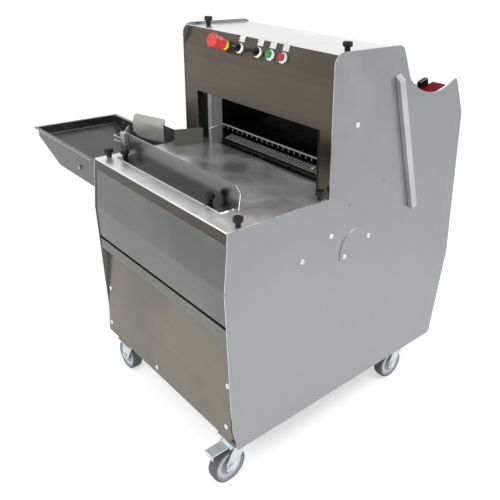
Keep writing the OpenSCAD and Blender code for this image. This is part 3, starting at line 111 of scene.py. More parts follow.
def feed(node: Node, inputs: dict) -> None:
    """Feeds a node's inputs.

    Args:
        node: the node.
        inputs: a value or another node's socket for each input, by its name or number.
    """
    for label, source in inputs.items():
        if isinstance(source, Socket):
            node.id_data.links.new(source, node.inputs[label])
        else:
            node.inputs[label].default_value = source


def add(tree: Tree, kind: str, inputs: dict | None = None, **settings: object) -> Node:
    """Adds a node to a tree.

    Args:
        tree: the tree that gets it.
        kind: the node's type.
        inputs: what feeds its inputs.
        settings: the node's own settings.

    Returns:
        The node.
    """
    node = tree.nodes.new(kind)
    for name, setting in settings.items():
        setattr(node, name, setting)
    feed(node, inputs or {})
    return node


def open_tree(name: str, family: str, inputs: dict[str, str],
              outputs: dict[str, str]) -> tuple[Tree, Node, Node]:
    """Opens a node group with its sockets.

    Args:
        name: the group's name.
        family: Shader or Geometry.
        inputs: names and kinds of its inputs.
        outputs: names and kinds of its outputs.

    Returns:
        The tree, its input node and its output node.
    """
    tree = bpy.data.node_groups.new(name, family + "NodeTree")
    for way, sockets in (("INPUT", inputs), ("OUTPUT", outputs)):
        for label, kind in sockets.items():
            tree.interface.new_socket(name=label, in_out=way, socket_type="NodeSocket" + kind)
    return tree, add(tree, "NodeGroupInput"), add(tree, "NodeGroupOutput")


class Grain(Enum):
    """The way a grain runs: how tightly it is packed along X, Y and Z, per metre."""

    X = (5.0, 420.0, 420.0)
    Y = (420.0, 5.0, 420.0)
    Z = (420.0, 420.0, 5.0)
    EVEN = (160.0, 160.0, 160.0)


class ShaderGroups:
    """The surface effects that several finishes share, each built once."""

    streak_share = 0.16
    mark_from = 0.35
    mark_to = 0.68

    @staticmethod
    @functools.cache
    def brushed() -> Tree:
        """Grain of a brushed sheet: broad streaks and fine lines along one way.

        Returns:
            The group, with outputs Streak and Line.
        """
        tree, start, end = open_tree(
            "brushed_grain", "Shader", {"Vector": "Vector", "Stretch": "Vector"},
            {"Streak": "Float", "Line": "Float"})
        scaled = add(tree, "ShaderNodeVectorMath", {
            0: start.outputs["Vector"], 1: start.outputs["Stretch"]}, operation="MULTIPLY")
        for label, share, detail in (("Streak", ShaderGroups.streak_share, 3.0), ("Line", 1.0, 2.0)):
            finer = add(tree, "ShaderNodeVectorMath", {
                0: scaled.outputs["Vector"], "Scale": share}, operation="SCALE")
            noise = add(tree, "ShaderNodeTexNoise", {
                "Vector": finer.outputs["Vector"], "Scale": 1.0, "Detail": detail})
            feed(end, {label: noise.outputs["Fac"]})
        return tree

    @staticmethod
    @functools.cache
    def marks() -> Tree:
        """Cloudy marks of handling and wiping.

        Returns:
            The group, with the output Mark.
        """
        tree, start, end = open_tree(
            "handling_marks", "Shader", {"Vector": "Vector", "Scale": "Float"}, {"Mark": "Float"})
        noise = add(tree, "ShaderNodeTexNoise", {
            "Vector": start.outputs["Vector"], "Scale": start.outputs["Scale"], "Detail": 5.0,
            "Roughness": 0.6})
        spread = add(tree, "ShaderNodeMapRange", {
            "Value": noise.outputs["Fac"], "From Min": ShaderGroups.mark_from,
            "From Max": ShaderGroups.mark_to})
        feed(end, {"Mark": spread.outputs["Result"]})
        return tree


@dataclass(frozen=True)
class Finish:
    """A surface: its screen colour, gloss, grain and the marks on it."""

    name: str
    tint: Triple
    roughness: float
    metallic: float = 0.0
    grain: Grain = Grain.EVEN
    streak: float = 0.06
    mark: float = 0.05
    mark_scale: float = 7.0
    bump: float = 0.0
    coat: float = 0.0
    specular: float = 0.5
    clean_gloss: float = 0.82
    worn_gloss: float = 1.2
    relief: float = 0.4

    def material(self) -> bpy.types.Material:
        """The finish as a node material, built the first time it is asked for.

        Returns:
            The material.
        """
        known = bpy.data.materials.get(self.name)
        if known:
            return known
        made = bpy.data.materials.new(self.name)
        made.use_nodes = True
        tint = srgb(*self.tint)
        made.diffuse_color = (*tint, 1.0)
        tree = made.node_tree
        place = add(tree, "ShaderNodeTexCoord").outputs["Object"]
        grain = add(tree, "ShaderNodeGroup", node_tree=ShaderGroups.brushed(), inputs={
            "Vector": place, "Stretch": self.grain.value}).outputs
        mark = add(tree, "ShaderNodeGroup", node_tree=ShaderGroups.marks(), inputs={
            "Vector": place, "Scale": self.mark_scale}).outputs["Mark"]
        shade = self.ranged(tree, grain["Streak"], 1 - self.streak, 1 + self.streak)
        wear = self.ranged(tree, mark, 1 - self.mark, 1 + self.mark)
        gloss = self.ranged(tree, mark, self.roughness * self.clean_gloss, self.roughness * self.worn_gloss)
        both = add(tree, "ShaderNodeMath", {0: shade, 1: wear}, operation="MULTIPLY")
        tinted = add(tree, "ShaderNodeVectorMath", {
            0: tint, "Scale": both.outputs["Value"]}, operation="SCALE")
        skin = tree.nodes["Principled BSDF"]
        feed(skin, {
            "Base Color": tinted.outputs["Vector"], "Roughness": gloss, "Metallic": self.metallic,
            "Coat Weight": self.coat, "Specular IOR Level": self.specular})
        if self.bump:
            relief = add(tree, "ShaderNodeBump", {
                "Height": grain["Line"], "Strength": self.bump, "Distance": self.relief * MM})
            feed(skin, {"Normal": relief.outputs["Normal"]})
        return made

    @staticmethod
    def ranged(tree: Tree, value: Socket, low: float, high: float) -> Socket:
        """Spreads the middle of a pattern between two values.

        Args:
            tree: the material's tree, which gets the node.
            value: the pattern's socket.
            low: the result where the pattern is weak.
            high: the result where it is strong.

        Returns:
            The result's socket.
        """
        return add(tree, "ShaderNodeMapRange", {
            "Value": value, "From Min": 0.25, "From Max": 0.75, "To Min": low, "To Max": high,
        }).outputs["Result"]


def steel(name: str, tint: Triple, roughness: float, grain: Grain, metallic: float = 1.0,
          **more: float) -> Finish:
    """A metal finish with a brushed grain, duller where it is less metallic."""
    return Finish(name, tint, roughness, metallic=metallic, grain=grain, **more)


def plastic(name: str, tint: Triple, roughness: float, mark: float, **more: float) -> Finish:
    """A moulded plastic with fine marks on it."""
    return Finish(name, tint, roughness, mark=mark, mark_scale=50.0, **more)


SIDE_STEEL = steel("satin_side_steel", (147, 150, 152), 0.34, Grain.Z, 0.8,
                   streak=0.012, mark=0.02)
RAIL_STEEL = steel("satin_rail_steel", (184, 187, 188), 0.42, Grain.Z, 0.7, streak=0.015)
# Apron and lower front panel: brushed steel tints darkened and browned, a painted reflection of the room in
# front
APRON_REFLECTION_STEEL = steel("brushed_apron_steel", (104, 106, 101), 0.25, Grain.X, 0.85,
                    streak=0.04, mark=0.1, mark_scale=2.6)
# Forward-facing faces of the table sheet: a dark painted reflection, while the top of the same sheet stays
# pale
LIP_REFLECTION_STEEL = steel("dark_lip_steel", (74, 70, 61), 0.25, Grain.X, 0.85, streak=0.04)
LOWER_REFLECTION_STEEL = steel("brushed_lower_steel", (107, 102, 92), 0.25, Grain.X, 0.85,
                    streak=0.04, mark=0.14, mark_scale=2.6)
# Hood front: steel tint darkened and browned, a painted reflection of a dark brownish room
HOOD_REFLECTION_STEEL = steel("bright_hood_steel", (95, 87, 77), 0.26, Grain.X, 0.85, streak=0.07)
TABLE_STEEL = steel("worn_table_steel", (240, 241, 241), 0.36, Grain.X, 0.9, streak=0.04)
COVER_STEEL = steel("top_cover_steel", (232, 233, 233), 0.3, Grain.X, streak=0.02)
FENCE_STEEL = steel("fence_sheet_steel", (128, 128, 124), 0.26, Grain.X, streak=0.05)
NOZZLE_STEEL = steel("nozzle_sheet_steel", (190, 190, 180), 0.5, Grain.X, 0.8, streak=0.05)
GUIDE_STEEL = steel("dark_guide_steel", (100, 100, 93), 0.3, Grain.X, 0.8, streak=0.05)
TROUGH_STEEL = steel("trough_sheet_steel", (101, 102, 100), 0.3, Grain.X, 0.85, streak=0.05)
SHEET_STEEL = steel("plain_sheet_steel", (176, 175, 171), 0.26, Grain.X, streak=0.05)
# Bare cut edges, lightened well past the sheet's own tone as a painted highlight
CUT_EDGE_HIGHLIGHT = steel("bright_cut_edge", (226, 227, 226), 0.3, Grain.EVEN, streak=0.03)
COMB_STEEL = steel("bright_comb_steel", (206, 206, 202), 0.34, Grain.Y, 0.6, streak=0.04)
BAR_STEEL = steel("machined_steel", (168, 168, 168), 0.3, Grain.Y, streak=0.06)
# Parts inside the cutting cavity: steel darkened as painted shade of the hood's interior
SHADE_INNER_STEEL = steel("dull_inner_steel", (52, 52, 50), 0.36, Grain.Z, streak=0.05)
# Blades darkened far below bright steel: painted shade of the cavity behind the grid
BLADE_SHADE_STEEL = steel("dark_blade_steel", (34, 34, 35), 0.3, Grain.Z, streak=0.05)
SCREW_STEEL = steel("pale_screw_steel", (222, 231, 233), 0.25, Grain.EVEN, 0.4, streak=0.03)
DARK_STEEL = steel("dull_plug_steel", (128, 130, 131), 0.35, Grain.EVEN, streak=0.04)
ZINC = Finish("pale_zinc", (212, 219, 221), 0.4, metallic=0.45, mark=0.08, mark_scale=40.0)
FRAME_PAINT = Finish("grey_frame_paint", (110, 112, 115), 0.5, bump=0.12)
MOTOR_PAINT = Finish("blue_grey_motor_paint", (92, 108, 126), 0.42, bump=0.15)
BOX_PAINT = Finish("pale_box_paint", (205, 206, 203), 0.45, bump=0.12)
BELT_RUBBER = Finish("black_belt_rubber", (24, 24, 25), 0.75, mark=0.12, bump=0.2)
TREAD_RUBBER = Finish("grey_tread_rubber", (96, 99, 103), 0.7, mark=0.1, mark_scale=30.0, bump=0.2)
WHEEL_BODY = Finish("blue_grey_wheel_body", (150, 156, 166), 0.5, mark=0.06, mark_scale=30.0, bump=0.1)
WHEEL_RING = Finish("pale_wheel_ring", (206, 210, 214), 0.45, mark=0.05, mark_scale=30.0, bump=0.1)
BLACK_PLASTIC = plastic("black_knob_plastic", (9, 9, 10), 0.36, 0.1, bump=0.1, specular=0.3)
WHITE_PLASTIC = plastic("white_collar_plastic", (228, 228, 222), 0.3, 0.03)
STOP_RED = plastic("pale_red_stop_plastic", (212, 58, 62), 0.35, 0.05)
RED_PLASTIC = plastic("red_button_plastic", (188, 18, 48), 0.3, 0.04, coat=0.2)
GREEN_PLASTIC = plastic("green_button_plastic", (10, 140, 64), 0.3, 0.04, coat=0.2)
YELLOW_PLASTIC = plastic("yellow_ring_plastic", (222, 188, 32), 0.35, 0.04)
GRIP_RED = Finish("dark_red_grip", (116, 6, 22), 0.5, mark=0.05, mark_scale=20.0, specular=0.04)


# Mesh helpers


class Skin(IntEnum):
    """The material slots of a dressed node."""

    MAIN = 0
    # Cut edges, which take a painted highlight
    CUT = 1
    OTHER = 2


class Shop:
    """Making and finishing of meshes, and their place in the frame, in metres and degrees."""

    body_of_node = {
        node: body for body, nodes in frame["record"]["behaviour"]["bodies"].items() for node in nodes}
    slot_of_node = {row["node"]: row["material_slot"] for row in frame["record"]["subparts"]}
    weld = 2e-6
    flat = 0.3
    bend = 3.0
    sharp = 40.0
    corner = 50.0
    square = 60.0
    square_share = 0.35
    wide = 0.012

    @staticmethod
    def smooth(name: str, work: BMesh, corner: float) -> Mesh:
        """Turns a bmesh into a mesh with smooth faces and true corners.

        Args:
            name: the mesh's name.
            work: the bmesh, which is freed.
            corner: the angle from which an edge stays sharp.

        Returns:
            The mesh.
        """
        for face in work.faces:
            face.smooth = True
        mesh = bpy.data.meshes.new(name)
        work.to_mesh(mesh)
        work.free()
        mesh.set_sharp_from_angle(angle=math.radians(corner))
        return mesh

    @classmethod
    def from_bmesh(cls, name: str, work: BMesh, finishes: Sequence[Finish]) -> Object:
        """Turns a bmesh into an object whose wide faces look flat.

        Args:
            name: the object's name.
            work: the bmesh, which is freed.
            finishes: one finish for each material slot.

        Returns:
            The new object.
        """
        mesh = cls.smooth(name, work, cls.corner)
        for finish in finishes:
            mesh.materials.append(finish.material())
        made = put(name, mesh)
        weigh = made.modifiers.new("flat_faces", "WEIGHTED_NORMAL")
        weigh.keep_sharp = True
        weigh.weight = 100
        return made

    @classmethod
    def settle(cls, made: Object, *nodes: str, body: str = "", slot: str = "") -> Object:
        """Hides the nodes that a piece stands for and hangs the piece on the body it rides on.

        Args:
            made: the piece.
            nodes: the nodes that it stands for.
            body: the body it rides on, where it stands for no node.
            slot: its material slot, where it stands for no node; not used.

        Returns:
            The same piece.
        """
        if nodes:
            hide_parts(*nodes)
        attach(made, body or cls.body_of_node[nodes[0]])
        log.info("%s rides on %s", made.name, body or cls.body_of_node[nodes[0]])
        return made

    @staticmethod
    def width(face: Face) -> float:
        """About how wide a face is across its short way, in metres."""
        return 2 * face.calc_area() / max(face.calc_perimeter(), 1e-9)

    @classmethod
    def is_cut(cls, face: Face, cut: float) -> bool:
        """Whether a face is a sheet's cut edge: narrower than cut, in mm, and square along much of it."""
        square = sum(e.calc_length() for e in face.edges if e.calc_face_angle(0) > math.radians(cls.square))
        return cls.width(face) < cut * MM and square > cls.square_share * face.calc_perimeter()

    @staticmethod
    def bent(work: BMesh, angle: float) -> list[bmesh.types.BMEdge]:
        """The edges whose two faces meet at more than an angle."""
        limit = math.radians(angle)
        return [e for e in work.edges if len(e.link_faces) == 2 and e.calc_face_angle(0) > limit]

    @staticmethod
    def bevel(work: BMesh, edges: list[bmesh.types.BMEdge], radius: float, segments: int = 3,
              clamp: bool = False) -> None:
        """Rounds edges.

        Args:
            work: the bmesh to change.
            edges: its edges, if any, that are rounded.
            radius: their radius, in mm.
            segments: faces across a rounded edge.
            clamp: whether roundings stop where they meet.
        """
        if edges:
            bmesh.ops.bevel(work, geom=edges, offset=radius * MM, segments=segments, profile=0.5,
                            affect="EDGES", clamp_overlap=clamp)

    @classmethod
    def soften(cls, work: BMesh, edge: float, fold: float) -> None:
        """Rounds the folds between wide faces, then the sharp edges.

        Args:
            work: the bmesh to change.
            edge: radius of an edge in mm, or 0.
            fold: radius of a fold in mm, or 0.
        """
        if fold:
            folds = [e for e in cls.bent(work, cls.bend) if min(map(cls.width, e.link_faces)) > cls.wide]
            cls.bevel(work, folds, fold)
        if edge:
            cls.bevel(work, cls.bent(work, cls.sharp), edge, segments=2)

    @classmethod
    def dress(cls, node: str, finish: Finish, edge: float = SHEET_EDGE, fold: float = 0.0, cut: float = 0.0,
              other: Finish | None = None, where: Callable[[Face], bool] | None = None) -> Object:
        """Replaces a node by a soft-edged copy, its triangles joined into flat faces, with its finishes.

        Args:
            node: the node's name.
            finish: its surface.
            edge: radius of its edges, in mm.
            fold: radius of its folds, in mm.
            cut: the widest cut edge, lightened as a painted highlight, in mm, or 0 for none.
            other: a second surface, for a part of the node.
            where: picks the faces that take the second surface.

        Returns:
            The piece.
        """
        work = bmesh.new()
        work.from_mesh(frame["nodes"][node].data)
        bmesh.ops.remove_doubles(work, verts=work.verts, dist=cls.weld)
        bmesh.ops.dissolve_limit(
            work, angle_limit=math.radians(cls.flat), use_dissolve_boundaries=False,
            verts=work.verts, edges=work.edges, delimit=set())
        for face in work.faces:
            if cls.is_cut(face, cut):
                face.material_index = Skin.CUT
            else:
                face.material_index = Skin.OTHER if where and where(face) else Skin.MAIN
        cls.soften(work, edge, fold)
        return cls.settle(cls.from_bmesh(node + "_piece", work, [finish, CUT_EDGE_HIGHLIGHT, other or finish]), node)

    @classmethod
    def sheet(cls, node: str, finish: Finish, fold: float = SHEET_FOLD, **more: object) -> Object:
        """Dresses a sheet with its folds and its cut edges, which are lightened as a painted highlight."""
        return cls.dress(node, finish, fold=fold, cut=SHEET_CUT, **more)

    @staticmethod
    def turned(work: BMesh, profile: Profile, place: Matrix, slot: int = 0,
               segments: int = 40, ribs: int = 0) -> None:
        """Adds a turned shape, with grip ribs where asked.

        Args:
            work: the bmesh that gets the shape.
            profile: radius and height of each ring in mm, from its foot to its top, then the depth of
                its grooves as a share of the radius, where it has any.
            place: where it stands, Z along its axis.
            slot: its material slot.
            segments: faces round it.
            ribs: number of ribs between the grooves.
        """
        rings = []
        for radius, height, *groove in profile:
            ring = []
            for i in range(segments if radius else 1):
                angle = 2 * math.pi * i / segments
                reach = radius * (1 - sum(groove) * (0.5 - 0.5 * math.cos(ribs * angle)))
                point = mm(reach * math.cos(angle), reach * math.sin(angle), height)
                ring.append(work.verts.new(place @ point))
            rings.append(ring)
        for low, high in zip(rings, rings[1:]):
            for i in range(segments):
                j = (i + 1) % segments
                corners = [low[i % len(low)], low[j % len(low)], high[j % len(high)], high[i % len(high)]]
                unique = list(dict.fromkeys(corners))
                if len(unique) > 2:
                    work.faces.new(unique).material_index = slot

    @classmethod
    def block(cls, work: BMesh, low: Vector, high: Vector, place: Matrix, edge: float,
              slot: int = 0) -> None:
        """Adds a bar or plate with rounded edges.

        Args:
            work: the bmesh that gets it.
            low: its low corner in mm.
            high: its high corner in mm.
            place: the frame that its corners are given in.
            edge: radius of its edges, in mm.
            slot: its material slot.
        """
        own = bmesh.new()
        size = high - low
        fit = Matrix.Translation((low + high) / 2 * MM) @ Matrix.Diagonal((*(size * MM), 1.0))
        bmesh.ops.create_cube(own, size=1.0, matrix=fit)
        cls.bevel(own, own.edges[:], edge, clamp=True)
        bmesh.ops.transform(own, matrix=place, verts=own.verts)
        for face in own.faces:
            face.material_index = slot
        spare = bpy.data.meshes.new("spare")
        own.to_mesh(spare)
        own.free()
        work.from_mesh(spare)
        bpy.data.meshes.remove(spare)


class Repeater:
    """A Geometry Nodes tree that repeats one shape on given places."""

    @staticmethod
    @functools.cache
    def tree() -> Tree:
        """The tree: copies on a mesh's points, turned by their attribute, made real and given a finish.

        Returns:
            The tree, with inputs Shape and Finish.
        """
        inputs = {"Geometry": "Geometry", "Shape": "Object", "Finish": "Material"}
        tree, start, end = open_tree("copies_on_places", "Geometry", inputs, {"Geometry": "Geometry"})
        named = add(tree, "GeometryNodeInputNamedAttribute", {"Name": "turn"}, data_type="FLOAT_VECTOR")
        turn = add(tree, "FunctionNodeEulerToRotation", {"Euler": named.outputs["Attribute"]})
        shape = add(tree, "GeometryNodeObjectInfo", {"Object": start.outputs["Shape"]})
        copies = add(tree, "GeometryNodeInstanceOnPoints", {
            "Points": start.outputs["Geometry"], "Instance": shape.outputs["Geometry"],
            "Rotation": turn.outputs["Rotation"]})
        real = add(tree, "GeometryNodeRealizeInstances", {"Geometry": copies.outputs["Instances"]})
        dressed = add(tree, "GeometryNodeSetMaterial", {
            "Geometry": real.outputs["Geometry"], "Material": start.outputs["Finish"]})
        feed(end, {"Geometry": dressed.outputs["Geometry"]})
        return tree

    @classmethod
    def places(cls, name: str, shape: BMesh, finish: Finish, frames: Sequence[Matrix]) -> Object:
        """Runs the tree once and keeps its result as a plain mesh.

        Args:
            name: the finished piece's name.
            shape: the shape that is repeated, which is freed.
            finish: its surface.
            frames: a frame for each copy.

        Returns:
            The finished piece.
        """
        points = bpy.data.meshes.new(name + "_points")
        points.from_pydata([place.translation for place in frames], [], [])
        turns = points.attributes.new("turn", "FLOAT_VECTOR", "POINT")
        for row, place in zip(turns.data, frames):
            row.vector = place.to_euler()
        pattern = put(name + "_pattern", Shop.smooth(name + "_pattern", shape, Shop.sharp))
        host = put(name + "_host", points)
        values = {"Shape": pattern, "Finish": finish.material()}
        maker = host.modifiers.new("copies", "NODES")
        maker.node_group = cls.tree()
        for item in maker.node_group.interface.items_tree:
            if item.in_out == "INPUT" and item.name in values:
                maker[item.identifier] = values[item.name]
        host.update_tag()
        graph = bpy.context.evaluated_depsgraph_get()
        mesh = bpy.data.meshes.new_from_object(host.evaluated_get(graph), depsgraph=graph)
        mesh.name = name
        for helper in (pattern, host):
            bpy.data.objects.remove(helper)
        return put(name, mesh)


# Sub-assemblies


@dataclass
class Cabinet:
    """Side panels, front and rear sheets, frame, and the right panel's fittings, in mm and degrees."""

    half_width: float = 330.0
    side_edge: float = 0.7
    # The side panels' cut edges up to this width take the painted highlight
    side_cut: float = 3.4
    head: float = 7.0
    head_height: float = 2.5
    shank: float = 2.5
    shank_length: float = 3.0
    socket: float = 0.14
    side_screws: tuple = ((-17.64, 928.81), (-95.45, 641.5), (-195.64, 601.0))
    cover_place: tuple = (6.0, 574.0)
    cover_tilt: float = 20.5
    cover_screws: tuple = ((-50.0, 10.0), (50.0, 10.0))
    cover_thick: float = 3.0
    highlight_rim_slant: float = 0.5
    lower_x: float = 326.5
    lower_foot: tuple = (-426.0, 167.0)
    lower_back: tuple = (-409.2, 463.0)
    ledge_play: float = 1.0
    lower_screws: tuple = ((-0.95, 0.52), (-0.95, 0.11), (-0.09, 0.07), (0.95, 0.53), (0.95, 0.12))
    plugs: tuple = ((223.9, 796.7), (102.4, 752.0), (-30.1, 712.8), (140.0, 1079.0))
    plug_rings: tuple = ((0, 0), (3.4, 0), (3.4, 0.3), (2.6, 0.7), (1.2, 0.4), (0, 0.3))

    def build(self) -> None:
        """Builds the sheets, then the screws and plugs."""
        for node in ("left_side_panel", "right_side_panel"):
            Shop.dress(node, SIDE_STEEL, edge=self.side_edge, cut=self.side_cut)
        # The front sheets' dark brownish tints are a painted reflection; the lower panel's ledge takes the
        # apron's
        Shop.sheet("front_apron", APRON_REFLECTION_STEEL)
        ledge = (self.lower_back[1] - self.ledge_play) * MM
        Shop.sheet("lower_front_panel", LOWER_REFLECTION_STEEL, fold=0.0, other=APRON_REFLECTION_STEEL,
                   where=lambda face: face.calc_center_median().z > ledge)
        Shop.sheet("rear_panel", SIDE_STEEL)
        Shop.dress("base_frame", FRAME_PAINT, edge=1.0)
        # The access cover's rim takes pale screw steel, a painted highlight along its edge
        Shop.dress("access_cover", SIDE_STEEL, edge=0.6, other=SCREW_STEEL,
                   where=lambda face: abs(face.normal.x) < self.highlight_rim_slant)
        Shop.dress("guide_covers", RAIL_STEEL, edge=1.5)
        Shop.dress("control_box", BOX_PAINT, edge=4.0)
        self.build_screws()
        self.build_plugs()

    def screw_frames(self) -> list[Matrix]:
        """Where each screw sits, Z out of the sheet.

        Returns:
            One frame for each screw.
        """
        places = []
        for side in (-1, 1):
            out = Vector((side, 0, 0))
            places += [facing(mm(side * self.half_width, y, z), out) for y, z in self.side_screws]
        lean = Matrix.Rotation(math.radians(self.cover_tilt), 3, "X")
        middle = mm(self.half_width + self.cover_thick, *self.cover_place)
        places += [facing(middle + lean @ mm(0, v, w), Vector((1, 0, 0))) for v, w in self.cover_screws]
        (y, z), (back_y, back_z) = self.lower_foot, self.lower_back
        for across, up in self.lower_screws:
            point = mm(self.lower_x * across, y + (back_y - y) * up, z + (back_z - z) * up)
            places.append(facing(point, Vector((0, z - back_z, back_y - y))))
        return places

    def build_screws(self) -> None:
        """Button heads with a six-sided socket, on every screw's place."""
        shape = bmesh.new()
        r, h, s, foot, g = self.head, self.head_height, self.shank, -self.shank_length, self.socket
        Shop.turned(shape, [
            (0, foot), (s, foot), (s, 0), (r, 0), (r, h * 0.25), (r * 0.93, h * 0.6), (r * 0.76, h * 0.9),
            (r * 0.55, h), (r * 0.42, h, g), (r * 0.4, h * 0.35, g), (0, h * 0.3)],
            Matrix(), segments=24, ribs=6)
        heads = Repeater.places("panel_screw_heads", shape, SCREW_STEEL, self.screw_frames())
        Shop.settle(heads, "panel_screws")

    def build_plugs(self) -> None:
        """Small dark plugs in the right panel."""
        shape = bmesh.new()
        Shop.turned(shape, self.plug_rings, Matrix(), segments=20)
        frames = [facing(mm(self.half_width, y, z), Vector((1, 0, 0))) for y, z in self.plugs]
        plugs = Repeater.places("panel_plugs", shape, DARK_STEEL, frames)
        Shop.settle(plugs, body="machine", slot="plain_steel")


@dataclass
class Knobs:
    """Ribbed thumb knobs on the table, the top cover and the fence, sizes in mm."""

    radius: float = 12.5
    height: float = 26.0
    ribs: int = 16
    groove: float = 0.08
    table: tuple = ((-314, -382, 748), (-314, -127, 748), (314, -382, 748), (314, -127, 748))
    cover: tuple = ((-297, -35, 1109), (297, -35, 1109))
    fence: tuple = ((-266, -356, 750), (164, -356, 750))
    stud: tuple = ((0, -14), (3, -14), (3, 0))
    nut: tuple = ((0, -9.5), (9, -9.5), (9, -4.5), (4, -4.5), (4, 0))

    def build(self) -> None:
        """Sets the knobs on their places, each on its screw."""
        r, h, g = self.radius, self.height, self.groove
        knob = [
            (r * 0.56, 0), (r * 0.6, h * 0.1), (r * 0.62, h * 0.42), (r * 0.7, h * 0.49),
            (r * 0.94, h * 0.51, g), (r, h * 0.56, g), (r, h * 0.86, g), (r * 0.95, h * 0.93, g * 0.7),
            (r * 0.84, h * 0.98), (r * 0.55, h), (r * 0.3, h * 0.985), (0, h * 0.98)]
        sets = (("thumb_knob_set", "thumb_knobs", self.stud, (*self.table, *self.cover)),
                ("fence_knob_set", "fence_knobs", self.nut, self.fence))
        for name, node, shank, places in sets:
            shape = bmesh.new()
            Shop.turned(shape, [*shank, *knob], Matrix(), segments=64, ribs=self.ribs)
            frames = [facing(mm(*place), Vector((0, 0, 1))) for place in places]
            Shop.settle(Repeater.places(name, shape, BLACK_PLASTIC, frames), node)


@dataclass
class TableTop:
    """Output table, fence, guides, trough and what lies under the table, sizes in mm."""

    plate_edge: float = 0.25

    def build(self) -> None:
        """Builds the table and all that is fixed to it."""
        # Faces that look forward take a dark painted reflection; the top keeps the pale table steel
        Shop.sheet("output_table", TABLE_STEEL, other=LIP_REFLECTION_STEEL,
                   where=lambda face: abs(face.normal.y) > abs(face.normal.z))
        plates = {"corner_guide": GUIDE_STEEL, "nozzle_plate": NOZZLE_STEEL, "fence": FENCE_STEEL}
        for node, finish in plates.items():
            Shop.sheet(node, finish, fold=0.0, edge=self.plate_edge)
        Shop.dress("bag_clamp", BAR_STEEL, edge=1.2)
        Shop.dress("bag_clamp_lever", BAR_STEEL, edge=0.2)
        Shop.sheet("bagging_trough", TROUGH_STEEL)
        Shop.dress("trough_bracket", BAR_STEEL, edge=0.8)
        Shop.dress("inner_rails", BAR_STEEL)
        Shop.dress("crumb_tray", SHEET_STEEL)


